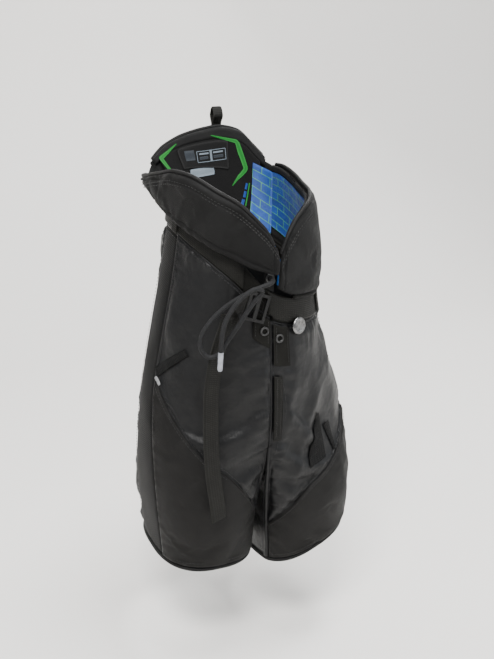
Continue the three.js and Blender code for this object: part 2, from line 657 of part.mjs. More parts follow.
function flyPanels() {
  const upper = fallBelow(WAISTBAND_HEIGHT + 2);
  const facing = { thickness: 1.6, lift: LAYER_GAP + 1.6 };
  const placket = between(upper, () => 0.24, evenly(3));
  add('left_fly_facing', bodyPanel([0.006, 0.075], placket, facing), 'nylon');
  const tab = between(upper, () => 0.2, evenly(2));
  add('right_fly_facing', bodyPanel([-0.075, -0.006], tab, facing), 'nylon');
  const tongue = level([0.275, 0.33, 0.39, 0.45, 0.5]);
  add('fly_tongue', bodyPanel([0.005, 0.04], tongue, { thickness: 2, lift: LAYER_GAP + 2 }), 'webbing');
}

// The stiff tab above the belt at the centre front, which carries the upper lace eyelet.
function laceTab() {
  const lines = [fallBelow(-24), fallBelow(-SEAM_GAP)];
  add('lace_tab', bodyPanel([-0.03, 0.012], lines, { thickness: 2.4, lift: 1 }), 'wrap');
}

function eyelets() {
  const flange = 1.1;
  const profile = [
    [EYELET_BORE, 0], [EYELET_RADIUS, 0], [EYELET_RADIUS, flange * 0.6], [EYELET_RADIUS - 1, flange],
    [EYELET_BORE, flange], [EYELET_BORE, 0],
  ];
  for (const [name, [x, z, lift]] of Object.entries(EYELETS)) {
    const { point, normal } = onFront(x, z, lift);
    add(name, turned(profile, 14, point, normal), 'metal');
  }
}

function lace() {
  const route = LACE_ROUTE.map((place) => vec(...place));
  add('waist_lace', tube(route, LACE_DIAMETER / 2, 70), 'lace');
  const tip = route.at(-1);
  const ahead = new THREE.CatmullRomCurve3(route).getTangentAt(1);
  const radius = LACE_DIAMETER / 2 + 0.3;
  const profile = [
    [0, 0], [radius, 0], [radius, AGLET_LENGTH - 2], [radius - 1, AGLET_LENGTH], [0, AGLET_LENGTH],
  ];
  add('lace_aglet', turned(profile, 10, tip.clone().addScaledVector(ahead, SEAM_GAP), ahead), 'aglet');
}

// ---------------------------------------------------------------- buttons and hang loop

// A brace button: a turned metal cap on a short shank that stands on the waistband.
function buttons() {
  const profile = [
    [0, 0], [3.6, 0], [3.6, 0.8], [3, 0.8], [3, 4], [BUTTON_RADIUS, 4.2], [BUTTON_RADIUS, 5.4],
    [BUTTON_RADIUS - 1.5, BUTTON_HEIGHT], [0, BUTTON_HEIGHT],
  ];
  for (const [place, [x, z]] of Object.entries(BRACE_BUTTONS)) {
    const { point, normal } = onFront(x, z, LAYER_GAP / 2);
    add(`${place}_brace_button`, turned(profile, 20, point, normal), 'metal');
  }
}

// A folded strip of webbing: both ends lie on the back of the panel, and the bend stands above it.
function hangLoop() {
  const surface = edgeSurface(BACK_EDGE, BACK_STAND_OFF, BACK_BULGE);
  const first = HANG_LOOP_THICKNESS / 2 + LAYER_GAP;
  const second = first + HANG_LOOP_THICKNESS + LAYER_GAP;
  const on = (v, lift) => surface(HANG_LOOP_COLUMN, v)
    .addScaledVector(normalOf(surface, HANG_LOOP_COLUMN, v, 1), lift);
  const rim = on(1, first);
  const above = (y, z) => rim.clone().add(vec(0, y, z));
  model.position.copy(above(0, HANG_LOOP_RISE - HANG_LOOP_THICKNESS / 2)).negate();
  const route = [
    on(0.72, first), on(0.9, first), above(0, 4), above(-HANG_LOOP_OPENING / 2, HANG_LOOP_RISE * 0.6),
    above(0, HANG_LOOP_RISE), above(HANG_LOOP_OPENING / 2, HANG_LOOP_RISE * 0.6),
    above(second - first, 4), on(0.9, second), on(0.72, second),
  ];
  add('hang_loop', strap(route, HANG_LOOP_WIDTH, HANG_LOOP_THICKNESS, 30, () => vec(1, 0, 0)), 'webbing');
}

for (const [name, side] of SIDES) {
  shells(name, side);
  guards(name, side);
  innerLegs(name, side);
  hem(name, side);
}
tailbone();
waistband();
wrap('right', RIGHT_WRAP_EDGE, RIGHT_WRAP_STAND_OFF, [0.5, 0.75, 0.98]);
wrap('left', LEFT_WRAP_EDGE, LEFT_WRAP_STAND_OFF, [0.14, 0.25, 0.5, 0.75, 0.98]);
backPanel();
belt();
beltLoops();
buckle();
beltTail();
flyPanels();
laceTab();
eyelets();
lace();
buttons();
hangLoop();

export default model;
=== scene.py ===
"""Looks for the hanging youth ice-hockey pants: fine cloth pieces, materials, light and camera.

Metres, +Z up, -Y the wearer's front, +X the wearer's left. The origin is the inside top of the
hang loop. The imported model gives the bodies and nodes; every soft node is replaced here by a
fine piece on the same surfaces.
"""

import bpy
import math
import numpy as np
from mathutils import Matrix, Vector


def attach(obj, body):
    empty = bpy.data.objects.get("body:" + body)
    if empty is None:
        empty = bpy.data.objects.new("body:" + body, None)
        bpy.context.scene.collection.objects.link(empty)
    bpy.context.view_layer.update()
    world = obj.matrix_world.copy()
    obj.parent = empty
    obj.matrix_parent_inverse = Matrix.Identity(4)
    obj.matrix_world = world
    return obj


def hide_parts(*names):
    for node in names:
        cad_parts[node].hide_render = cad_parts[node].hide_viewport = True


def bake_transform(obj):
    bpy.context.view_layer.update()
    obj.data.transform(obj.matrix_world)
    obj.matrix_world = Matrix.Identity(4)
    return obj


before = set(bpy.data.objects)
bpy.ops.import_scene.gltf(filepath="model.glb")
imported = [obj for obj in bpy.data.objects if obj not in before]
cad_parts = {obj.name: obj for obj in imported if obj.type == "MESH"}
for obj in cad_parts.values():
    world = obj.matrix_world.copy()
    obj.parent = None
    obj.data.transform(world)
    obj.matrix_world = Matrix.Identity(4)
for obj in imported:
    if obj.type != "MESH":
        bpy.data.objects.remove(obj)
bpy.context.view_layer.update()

MM = 0.001

# --- the body's measures (mm)

ORIGIN = np.array([16.354, 122.048, 487.899])     # the hang loop's place over the right hem
WAIST_HALF_WIDTH = 80
WAIST_FRONT_DEPTH = 82
WAIST_BACK_DEPTH = 86
THIGH_HALF_WIDTH = 122
THIGH_FRONT_DEPTH = 87
SEAT_DEPTH = 98
HEM_HALF_WIDTH = 116
CROTCH_FALL = 0.52
LEG_GAP = 7
LEG_CORNER = 0.62
LEG_POWER = 2 / 2.6
LEFT_HEM_DROP = 22
LEFT_HEM_SLOPE = 0.45

SEAM_GAP = 0.4
LAYER_GAP = 0.7
SHELL = 3.0
GUARD_LIFT = 2.0
PAD = 6.0
PLATE = 2.2
WRAP = 8.0
LINING = 1.6
WAISTBAND_HEIGHT = 30
RIGHT_STAND_OFF = 14.1     # of the wraps' lower edges from the waist
LEFT_STAND_OFF = 6
WRAP_BULGE = 3
BELT_WIDTH = 25
BELT_DROP = 1.5
BELT_LIFT = 2.4
BAND_THICKNESS = 3.4
BELT_THICKNESS = 1.8
LOOP_THICKNESS = 1.4
STRAP_THICKNESS = 1.6      # of the belt's tail and the hang loop
TAIL_WIDTH = 20
HANG_LOOP_WIDTH = 12
HEM_RADIUS = 2.6
PIPING_RADIUS = 2.2
SIZE_LABEL = 0.6
BUCKLE_TURN = -0.066
TURN_STEP = 1 / 24
FRONT_SIDE_SEAM = 0.43
REAR_SIDE_SEAM = 0.58

WAIST_HEIGHTS = [316, 305, 303, 312, 331, 352, 370, 385, 400, 404, 388, 359]
WIDTH_SHARES = [0, 0.22, 0.55, 0.86, 1]
# Rows of bearing, foot, flare and rise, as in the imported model.
RIGHT_WRAP_EDGE = [
    (-0.77, -4, 42, 24), (-0.69, -6, 36, 21), (-0.59, -8, 26, 23), (-0.49, -10, 18, 31),
    (-0.4, -11, 17, 44), (-0.3, -11, 18, 54), (-0.205, -8, 19, 57), (-0.115, 1, 18, 62),
    (-0.04, 14, 17, 61), (0.013, 21, 15, 48),
]
LEFT_WRAP_EDGE = [
    (0.022, 5, 8, 39), (0.06, 3, 9, 64), (0.115, 0.6, 7, 84), (0.2, 0.6, 4, 98),
    (0.345, 0.6, -2, 106), (0.5, 0.6, -3, 102), (0.61, 0.6, 6, 95), (0.7, 0.6, 19, 88),
    (0.75, 0.6, 30, 80),
]
BACK_EDGE = [
    (0.8, 0.1, 47, 76), (0.85, 0.1, 45, 90), (0.895, 0.1, 40, 101), (0.95, 0.1, 36, 100),
    (1.02, 0.1, 34, 90), (1.09, 0.1, 37, 77), (1.15, 0.1, 43, 60), (1.2, 0.1, 46, 39),
]
LACE_ROUTE = [
    (-2, -86, 331), (-3, -94, 331), (-10, -103, 331), (-26, -107, 328), (-44, -106, 321),
    (-60, -103, 311), (-74, -102, 299), (-85, -102, 284), (-87, -103, 270), (-80, -107, 261),
    (-69, -109, 264), (-60, -107, 275), (-50, -110, 290), (-40, -112, 306), (-30, -113, 319),
    (-24, -115, 327), (-32, -117, 331), (-44, -116, 325), (-56, -115, 313), (-65, -115, 298),
    (-69, -116, 282), (-70, -116, 268),
]
TAIL_UPPER_ROUTE = [
    (-30, -85, 304.8), (-36, -87, 306.8), (-46, -93, 303), (-58, -99, 286), (-67, -101, 264),
    (-72, -101, 241),
]
TAIL_LOWER_ROUTE = [
    (-72.3, -101, 239.6), (-75, -101, 222), (-76, -101, 196), (-76, -101, 160),
    (-74, -101, 124), (-70, -101, 92), (-67, -101, 68),
]


def metres(points):
    """Millimetres over the right hem to metres in the row frame."""
    return (np.asarray(points, float) - ORIGIN) * MM


# --- the skin


def lerp(a, b, t):
    return a + (b - a) * t


def smooth(t, low, high):
    s = np.clip((t - low) / (high - low), 0, 1)
    return s * s * (3 - 2 * s)


def power(value, exponent):
    return np.sign(value) * np.abs(value) ** exponent


def catmull(values, t, closed=False):
    """A smooth curve through evenly spaced values, read at t from 0 to 1."""
    values = np.asarray(values, float)
    count = len(values)
    spans = count if closed else count - 1
    place = (np.mod(t, 1) if closed else np.clip(t, 0, 1)) * spans
    index = np.minimum(np.floor(place).astype(int), spans - 1)

    def at(k):
        return values[(index + k) % count] if closed else values[np.clip(index + k, 0, count - 1)]

    f = place - index
    bend = 2 * at(-1) - 5 * at(0) + 4 * at(1) - at(2)
    twist = 3 * at(0) - at(-1) - 3 * at(1) + at(2)
    return (2 * at(0) + (at(1) - at(-1)) * f + bend * f * f + twist * f ** 3) / 2


WIDTHS = [lerp(WAIST_HALF_WIDTH, THIGH_HALF_WIDTH, s) for s in WIDTH_SHARES] + [
    lerp(THIGH_HALF_WIDTH, HEM_HALF_WIDTH, 0.1), HEM_HALF_WIDTH]
FRONT_DEPTHS = [WAIST_FRONT_DEPTH, (WAIST_FRONT_DEPTH + THIGH_FRONT_DEPTH) / 2] + [
    THIGH_FRONT_DEPTH - d for d in (0, 0, 0, 2, 6)]
BACK_DEPTHS = [WAIST_BACK_DEPTH, lerp(WAIST_BACK_DEPTH, SEAT_DEPTH, 0.7)] + [
    SEAT_DEPTH - d for d in (0, 1, 5, 9, 14)]
LEG_CENTRE = (HEM_HALF_WIDTH + LEG_GAP / 2) / 2
LEG_REACH = (HEM_HALF_WIDTH - LEG_GAP / 2) / 2
CORNER_COS = math.cos(LEG_CORNER) ** LEG_POWER
HEM_CORNER_X = LEG_CENTRE - LEG_REACH * CORNER_COS


def waist_height(turn):
    return catmull(WAIST_HEIGHTS, np.asarray(turn) / 2, closed=True)


def hem_height(side, x):
    return np.where(side < 0, 0, (np.abs(x) - 8) * LEFT_HEM_SLOPE - LEFT_HEM_DROP)


def edge_offset(fall):
    return SEAM_GAP + (HEM_CORNER_X - SEAM_GAP) * smooth(fall, CROTCH_FALL, 1)


def skin(turn, fall):
    """Points of the skin, in mm: turn is the bearing in half turns, fall from waist to hem."""
    turn, fall = np.broadcast_arrays(np.asarray(turn, float), np.asarray(fall, float))
    bearing = np.where(turn > 1, turn - 2, np.where(turn < -1, turn + 2, turn))
    side = np.where(bearing < 0, -1, 1)
    u = np.abs(bearing)
    width = catmull(WIDTHS, fall)
    edge = edge_offset(fall)
    angle = LEG_CORNER + (2 * math.pi - 2 * LEG_CORNER) * u
    leg_across = (CORNER_COS - power(np.cos(angle), LEG_POWER)) / (CORNER_COS + 1)
    leg_along = power(np.sin(angle), LEG_POWER)
    across = lerp(np.sin(math.pi * u), leg_across, smooth(fall, 0.2, 0.85))
    along = lerp(np.cos(math.pi * u), leg_along, smooth(fall, 0.45, 0.9))
    x = side * (edge + (width - edge) * across)
    y = np.where(along > 0, -catmull(FRONT_DEPTHS, fall), -catmull(BACK_DEPTHS, fall)) * along
    z = lerp(waist_height(bearing), hem_height(side, x), fall)
    return np.stack([x, y, z], -1)


def inner_leg(side, along, fall):
    """Points of the inner leg, from the front inner seam (0) to the back one (1)."""
    along, fall = np.broadcast_arrays(np.asarray(along, float), np.asarray(fall, float))
    front, back = skin(side * 1e-6, fall), skin(side * (1 - 1e-6), fall)
    edge = edge_offset(fall)
    nearest = lerp(SEAM_GAP, LEG_GAP / 2, smooth(fall, CROTCH_FALL, 1))
    bow = np.clip(np.sin(math.pi * along), 0, 1) ** 0.7
    x = side * (edge - (edge - nearest) * bow)
    return np.stack([x, lerp(front[..., 1], back[..., 1], along),
                     lerp(front[..., 2], back[..., 2], along)], -1)


def centripetal(rows, place):
    """The centripetal curve through rows, read at places counted in rows."""
    rows = np.vstack([2 * rows[0] - rows[1], rows, 2 * rows[-1] - rows[-2]])
    index = np.minimum(np.floor(place).astype(int), len(rows) - 4)
    f = (place - index)[..., None]
    p0, p1, p2, p3 = (rows[index + k] for k in range(4))
    d0, d1, d2 = (np.linalg.norm(b - a, axis=-1, keepdims=True) ** 0.5
                  for a, b in ((p0, p1), (p1, p2), (p2, p3)))
    t1 = ((p1 - p0) / d0 - (p2 - p0) / (d0 + d1) + (p2 - p1) / d1) * d1
    t2 = ((p2 - p1) / d1 - (p3 - p1) / (d1 + d2) + (p3 - p2) / d2) * d1
    bend = 3 * (p2 - p1) - 2 * t1 - t2
    return p1 + t1 * f + bend * f * f + (2 * (p1 - p2) + t1 + t2) * f ** 3


def through(edge, key, t):
    """The curve through an edge's bearings (times 100) and one of its values, read at t."""
    rows = np.array([(100 * row[0], row[key]) for row in edge], float)
    return centripetal(rows, np.clip(np.asarray(t, float), 0, 1) * (len(rows) - 1))


def unit(vectors):
    return vectors / np.linalg.norm(vectors, axis=-1, keepdims=True)


def lengths_along(points):
    """The running length of a line of points."""
    return np.concatenate([[0], np.cumsum(np.linalg.norm(np.diff(points, axis=0), axis=1))])


def columns_at(values, place, run):
    """Each column of values read at places along a run."""
    return np.stack([np.interp(place, run, column) for column in np.transpose(values)], -1)


LEVEL = np.array([1, 1, 0])


def edge_surface(edge, stand_off, bulge):
    """The surface of a hip wrap or the back panel, from lower edge (0) to upper edge (1)."""
    def surface(u, v):
        u, v = np.broadcast_arrays(np.asarray(u, float), np.asarray(v, float))
        foot, flare, rise = (through(edge, key, u) for key in (1, 2, 3))
        waist = skin(foot[..., 0] / 100, 0)
        outward = unit(waist * LEVEL)
        out = lerp(stand_off, flare[..., 1], v) + bulge * np.sin(math.pi * v)
        up = lerp(foot[..., 1], rise[..., 1], v)
        return waist + outward * out[..., None] + up[..., None] * np.array([0, 0, 1.0])

    return surface


def normals_of(surface, u, v, sense):
    step = 1e-3
    du = surface(u + step, v) - surface(u - step, v)
    dv = surface(u, v + step) - surface(u, v - step)
    n = np.cross(du, dv)
    return sense * n / np.maximum(np.linalg.norm(n, axis=-1, keepdims=True), 1e-9)


def on_skin(turns, falls):
    """Places on the skin and their outward normals."""
    return skin(turns, falls), normals_of(skin, turns, falls, -1)


def fall_below(depth):
    """The fall that lies a given number of millimetres below the waist seam."""
    def line(turn):
        side = np.where((turn < 0) | (turn > 1), -1, 1)
        return depth / (waist_height(turn) - hem_height(side, THIGH_HALF_WIDTH / 2))
    return line


# --- mesh builders


def new_object(name, vertices, faces, material, body=None, cloth=None):
    mesh = bpy.data.meshes.new(name)
    mesh.from_pydata([tuple(v) for v in vertices], [], faces)
    if cloth is not None:
        attribute = mesh.attributes.new("cloth", "FLOAT_VECTOR", "POINT")
        attribute.data.foreach_set("vector", np.asarray(cloth, np.float32).ravel())
    mesh.validate()
    mesh.update()
    obj = bpy.data.objects.new(name, mesh)
    bpy.context.scene.collection.objects.link(obj)
    mesh.materials.append(material)
    mesh.shade_smooth()
    if body:
        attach(obj, body)
    return obj


def cloth_coordinates(points):
    """How far each grid point lies across and along the cloth, in metres."""
    rows, columns = points.shape[:2]
    across, along = np.meshgrid(lengths_along(points[rows // 2]), lengths_along(points[:, columns // 2]))
    return np.stack([across, along, np.zeros_like(across)], -1)


def edge_distance(points):
    """Distance of each grid point from the nearest rim, in mm."""
    c = cloth_coordinates(points)
    x, y = c[..., 0], c[..., 1]
    return np.minimum(np.minimum(x, x.max() - x), np.minimum(y, y.max() - y))


def grid_faces(rows, columns):
    return [(a, a + columns, a + columns + 1, a + 1)
            for j in range(rows - 1) for a in range(j * columns, (j + 1) * columns - 1)]


def ring_faces(first, second, sides):
    """Quads between two rings of vertices that start at given numbers."""
    return [(first + k, first + (k + 1) % sides, second + (k + 1) % sides, second + k)
            for k in range(sides)]


def facing_out(faces, points, normals):
    """The faces of a grid, turned over where they look against its normals."""
    direction = np.cross(np.gradient(points, axis=0), np.gradient(points, axis=1))
    if np.einsum("ijk,ijk->", normals, direction) < 0:
        return [tuple(reversed(f)) for f in faces]
    return faces


def layer(name, points, normals, lift, thickness, material, body, roll=2.0, relief=None):
    """A closed cloth layer with rolled edges on a grid of points (mm) and normals."""
    rows, columns = points.shape[:2]
    d = np.clip(edge_distance(points) / roll, 0, 1)
    sink = (1 - np.sqrt(np.clip(1 - (1 - d) ** 2, 0, 1))) * min(roll, thickness / 2)
    outer = points + normals * (lift - sink + (0 if relief is None else relief))[..., None]
    inner = points + normals * (lift - thickness + sink)[..., None]
    vertices = np.concatenate([outer.reshape(-1, 3), inner.reshape(-1, 3)])
    cloth = cloth_coordinates(points).reshape(-1, 3) * MM
    base = rows * columns
    faces = []
    for a, b, c, d in grid_faces(rows, columns):
        faces += [(a, b, c, d), (base + a, base + d, base + c, base + b)]
    rim = list(range(columns))
    rim += [j * columns + columns - 1 for j in range(1, rows)]
    rim += [(rows - 1) * columns + i for i in range(columns - 2, -1, -1)]
    rim += [j * columns for j in range(rows - 2, 0, -1)]
    for k, a in enumerate(rim):
        b = rim[(k + 1) % len(rim)]
        faces.append((a, b, base + b, base + a))
    faces = facing_out(faces, points, normals)
    return new_object(name, metres(vertices), faces, material, body, np.concatenate([cloth, cloth]))


def fine(low, high, pitch, length):
    return np.linspace(low, high, max(3, int(round(length / pitch)) + 1))


def body_grid(bearings, upper, lower, pitch=3.0):
    """Points, normals, turns and falls of a fine body panel between two seam lines."""
    low, high = bearings
    turns = fine(low, high, pitch, abs(high - low) * math.pi * 100)
    top, bottom = upper(turns), lower(turns)
    shares = fine(0, 1, pitch, float(np.max(bottom - top)) * 380)
    falls = lerp(top[None, :], bottom[None, :], shares[:, None])
    turns = np.broadcast_to(turns, falls.shape)
    return *on_skin(turns, falls), turns, falls


# --- shader helpers


class Shader:
    """A node material under construction. Fabric patterns read the cloth attribute."""

    def __init__(self, name, **constants):
        self.material = bpy.data.materials.new(name)
        self.material.use_nodes = True
        self.tree = self.material.node_tree
        self.bsdf = self.tree.nodes["Principled BSDF"]
        for key, value in constants.items():
            self.bsdf.inputs[key.replace("_", " ")].default_value = value

    def node(self, kind, **settings):
        node = self.tree.nodes.new(kind)
        for key, value in settings.items():
            setattr(node, key, value)
        return node

    def feed(self, socket, value):
        if isinstance(value, bpy.types.NodeSocket):
            self.tree.links.new(value, socket)
        else:
            socket.default_value = value

    def math(self, operation, a, b=0.0, clamp=False):
        node = self.node("ShaderNodeMath", operation=operation, use_clamp=clamp)
        self.feed(node.inputs[0], a)
        self.feed(node.inputs[1], b)
        return node.outputs[0]

    def tone(self, scale, detail, rough, dark, light, low=0.3, high=0.75):
        """A colour that wanders between two colours."""
        return self.ramp(self.noise(scale, detail, rough), [(low, dark), (high, light)])

    def cloth(self):
        """The cloth coordinates, across and along, in metres."""
        node = self.node("ShaderNodeAttribute", attribute_name="cloth")
        split = self.node("ShaderNodeSeparateXYZ")
        self.feed(split.inputs[0], node.outputs["Vector"])
        return split.outputs[0], split.outputs[1]

    def place(self):
        return self.node("ShaderNodeTexCoord").outputs["Object"]

    def noise(self, scale, detail=3.0, roughness=0.55, vector=None):
        node = self.node("ShaderNodeTexNoise")
        self.feed(node.inputs["Vector"], vector or self.place())
        node.inputs["Scale"].default_value = scale
        node.inputs["Detail"].default_value = detail
        node.inputs["Roughness"].default_value = roughness
        return node.outputs[0]

    def wave(self, value, pitch):
        """A 0-1 wave along a coordinate in metres."""
        turned = self.math("SINE", self.math("MULTIPLY", value, 2 * math.pi / pitch))
        return self.math("MULTIPLY", self.math("ADD", turned, 1.0), 0.5)

    def weave(self, pitch):
        """A plain weave as a height from 0 to 1."""
        a, b = (self.math("SINE", self.math("MULTIPLY", way, 2 * math.pi / pitch)) for way in self.cloth())
        return self.math("MULTIPLY", self.math("ADD", self.math("MULTIPLY", a, b), 1.0), 0.5)

    def mix(self, factor, a, b):
        node = self.node("ShaderNodeMix", data_type="RGBA")
        self.feed(node.inputs[0], factor)
        self.feed(node.inputs[6], a)
        self.feed(node.inputs[7], b)
        return node.outputs[2]

    def ramp(self, value, stops):
        node = self.node("ShaderNodeValToRGB")
        ramp = node.color_ramp
        while len(ramp.elements) < len(stops):
            ramp.elements.new(0.5)
        for element, (place, color) in zip(ramp.elements, stops):
            element.position = place
            element.color = color
        self.feed(node.inputs[0], value)
        return node.outputs[0]

    def bump(self, *heights):
        """Bumps stacked on one another: pairs of a height and its depth in metres."""
        normal = None
        for height, depth in heights:
            node = self.node("ShaderNodeBump")
            node.inputs["Strength"].default_value = 1.0
            node.inputs["Distance"].default_value = depth
            self.feed(node.inputs["Height"], height)
            if normal is not None:
                self.feed(node.inputs["Normal"], normal)
            normal = node.outputs[0]
        self.feed(self.bsdf.inputs["Normal"], normal)

    def color(self, value):
        self.feed(self.bsdf.inputs["Base Color"], value)

    def roughness(self, value, spread, base):
        scaled = self.math("MULTIPLY", value, spread)
        self.feed(self.bsdf.inputs["Roughness"], self.math("ADD", scaled, base))


def grey(value, tint=(1.0, 1.0, 1.0)):
    return (value * tint[0], value * tint[1], value * tint[2], 1.0)


def fabric(name, dark, light, pitch, depth, rough, sheen=0.0, wrinkle=0.0, tint=(1, 1, 1),
           gloss=0.1):
    """Woven cloth with a worn, uneven tone."""
    shader = Shader(name, Sheen_Weight=sheen, Sheen_Roughness=0.45, Specular_IOR_Level=gloss)
    tone = shader.tone(22, 5, 0.6, grey(dark, tint), grey(light, tint))
    weave = shader.weave(pitch)
    shader.color(shader.mix(weave, grey(dark * 0.75, tint), tone))
    shader.roughness(shader.noise(60, 3), 0.16, rough - 0.08)
    heights = [(weave, depth), (shader.noise(900, 2), depth * 0.6)]
    if wrinkle:
        heights.append((shader.noise(34, 3, 0.5), wrinkle))
    shader.bump(*heights)
    return shader.material


def ribbed(name, dark, light, pitch, depth, rough, tint=(1, 1, 1)):
    """Webbing: ribs across the strap, with fine threads along it."""
    shader = Shader(name, Sheen_Weight=0.0, Specular_IOR_Level=0.15)
    across, along = shader.cloth()
    ribs = shader.wave(along, pitch)
    threads = shader.wave(across, pitch * 1.35)
    height = shader.math("MULTIPLY", shader.math("ADD", ribs, shader.math("MULTIPLY", threads, 0.6)), 0.62)
    tone = shader.tone(40, 4, 0.6, grey(dark, tint), grey(light, tint))
    shader.color(shader.mix(height, grey(dark * 0.6, tint), tone))
    shader.roughness(shader.noise(90, 3), 0.2, rough - 0.1)
    shader.bump((height, depth), (shader.noise(1200, 2), depth * 0.4))
    return shader.material


def knit_mesh(name):
    """Open mesh fabric: rows of small holes, darker inside."""
    shader = Shader(name, Specular_IOR_Level=0.12)
    across, along = shader.cloth()
    holes = shader.math("MULTIPLY", shader.wave(across, 0.0024), shader.wave(along, 0.0024))
    tone = shader.tone(30, 4, 0.55, grey(0.003), grey(0.007), high=0.8)
    shader.color(shader.mix(shader.math("POWER", holes, 1.6), tone, grey(0.0008)))
    shader.roughness(holes, 0.2, 0.62)
    shader.bump((shader.math("SUBTRACT", 1.0, holes), 0.0006), (shader.noise(500, 2), 0.0001))
    return shader.material


def printed_lining(name):
    """Blue woven lining with darker blocks and thin yellow-green grid lines."""
    shader = Shader(name, Sheen_Weight=0.1, Specular_IOR_Level=0.35)
    across, along = shader.cloth()
    joined = shader.node("ShaderNodeCombineXYZ")
    shader.feed(joined.inputs[0], across)
    shader.feed(joined.inputs[1], along)
    brick = shader.node("ShaderNodeTexBrick", offset=0.5, squash=1.0)
    shader.feed(brick.inputs["Vector"], joined.outputs[0])
    for key, value in (("Scale", 1.0), ("Mortar Size", 0.00045), ("Mortar Smooth", 0.1), ("Bias", -0.35),
                       ("Brick Width", 0.026), ("Row Height", 0.0105)):
        brick.inputs[key].default_value = value
    brick.inputs["Color1"].default_value = (0.0, 0.045, 0.24, 1)
    brick.inputs["Color2"].default_value = (0.0, 0.02, 0.12, 1)
    brick.inputs["Mortar"].default_value = (0.05, 0.24, 0.08, 1)
    fade = shader.tone(25, 3, 0.55, grey(0.72), grey(1.15), 0.35, 0.7)
    mixed = shader.node("ShaderNodeMix", data_type="RGBA", blend_type="MULTIPLY")
    mixed.inputs[0].default_value = 1.0
    shader.feed(mixed.inputs[6], brick.outputs["Color"])
    shader.feed(mixed.inputs[7], fade)
    shader.color(mixed.outputs[2])
    weave = shader.weave(0.0011)
    shader.roughness(weave, 0.15, 0.5)
    shader.bump((weave, 0.00012), (shader.noise(90, 4), 0.0012))
    return shader.material


def hard(name, color, rough, metallic=0.0, grain=400, depth=0.00005, wear=None):
    """Moulded plastic or metal with a fine grain and rubbed patches."""
    shader = Shader(name, Metallic=metallic, Specular_IOR_Level=0.3)
    patches = shader.noise(180, 4, 0.6)
    shader.color(shader.ramp(patches, [(0.35, color), (0.75, wear or color)]))
    shader.roughness(patches, 0.25, rough - 0.12)
    shader.bump((shader.noise(grain, 3), depth))
    return shader.material


OLIVE = (1.08, 1.05, 0.86)
COOL = (0.94, 0.98, 1.1)
NYLON = fabric("nylon_cloth", 0.0025, 0.006, 0.0009, 0.00006, 0.42, 0.0, 0.0035, COOL, 0.24)
GUARD = fabric("guard_cloth", 0.005, 0.009, 0.0012, 0.00014, 0.6, 0.0, 0.0012, (1.06, 1, 0.94), 0.16)
MESH = knit_mesh("mesh_cloth")
WRAP_CLOTH = fabric("wrap_cloth", 0.007, 0.012, 0.0014, 0.0002, 0.66, 0.02, 0.0012)
LINING_CLOTH = fabric("lining_cloth", 0.002, 0.005, 0.0012, 0.00016, 0.7, 0.04, 0.0012)
PRINT = printed_lining("print_cloth")
PIPING = ribbed("piping_cloth", 0.007, 0.014, 0.0016, 0.00018, 0.6)
BLUE_PIPING = ribbed("blue_piping_cloth", 0.1, 0.2, 0.0016, 0.00015, 0.5, (0.02, 0.5, 1.9))
WEBBING = ribbed("webbing_cloth", 0.004, 0.01, 0.0022, 0.0003, 0.6, OLIVE)
BAND = fabric("band_cloth", 0.003, 0.007, 0.0014, 0.00016, 0.62, 0.0, 0.001, OLIVE)
FACING = fabric("facing_cloth", 0.004, 0.009, 0.0011, 0.00014, 0.6, 0.0, 0.0008, OLIVE)
THREAD = fabric("thread", 0.02, 0.04, 0.0006, 0.0001, 0.6, 0.1)
PALE_THREAD = fabric("pale_thread", 0.16, 0.26, 0.0006, 0.0001, 0.6, 0.1)
LABEL = fabric("label_cloth", 0.003, 0.006, 0.0008, 0.00008, 0.6, 0.05)
LABEL_PALE = fabric("label_pale", 0.14, 0.22, 0.0008, 0.00008, 0.6, 0.1, 0.0, (0.8, 0.98, 1.14))
# A pale cloth colour for the small oval patch on the right shell.
PALE_OVAL = fabric("pale_oval_cloth", 0.2, 0.3, 0.0008, 0.0001, 0.6, 0.05, 0.0, (1.0, 1.02, 1.04))
LABEL_DIM = fabric("label_dim", 0.02, 0.04, 0.0008, 0.00008, 0.6, 0.1, 0.0, (0.8, 0.98, 1.2))
GREEN = fabric("green_print", 0.1, 0.15, 0.0012, 0.0001, 0.5, 0.05, 0.0, (0.06, 1.15, 0.14))
BLUE_PRINT = fabric("blue_print", 0.06, 0.1, 0.0012, 0.0001, 0.5, 0.05, 0.0, (0.05, 0.5, 2.4))
FOAM = fabric("foam_skin", 0.03, 0.05, 0.0016, 0.0002, 0.85, 0.1)
PLATE_PLASTIC = hard("plate_plastic", grey(0.03), 0.42, wear=grey(0.045))
BUCKLE_PLASTIC = hard("buckle_plastic", grey(0.004), 0.4, wear=grey(0.01), grain=900)
STEEL = hard("button_steel", grey(0.12), 0.28, 1.0, wear=grey(0.3), grain=1500)
GUNMETAL = hard("eyelet_metal", grey(0.03), 0.34, 1.0, wear=grey(0.1), grain=1500)
AGLET_PLASTIC = hard("aglet_plastic", grey(0.22, COOL), 0.3, wear=grey(0.34, COOL))


def lace_material():
    shader = Shader("lace_braid", Specular_IOR_Level=0.2)
    place = shader.place()
    braid = shader.node("ShaderNodeTexVoronoi")
    shader.feed(braid.inputs["Vector"], place)
    braid.inputs["Scale"].default_value = 900
    tone = shader.tone(200, 3, 0.55, grey(0.007, COOL), grey(0.017, COOL), high=0.8)
    shader.color(shader.mix(braid.outputs["Distance"], tone, grey(0.007)))
    shader.roughness(shader.noise(300, 2), 0.2, 0.6)
    shader.bump((braid.outputs["Distance"], 0.0004))
    return shader.material


LACE = lace_material()

# --- camera, then the cord

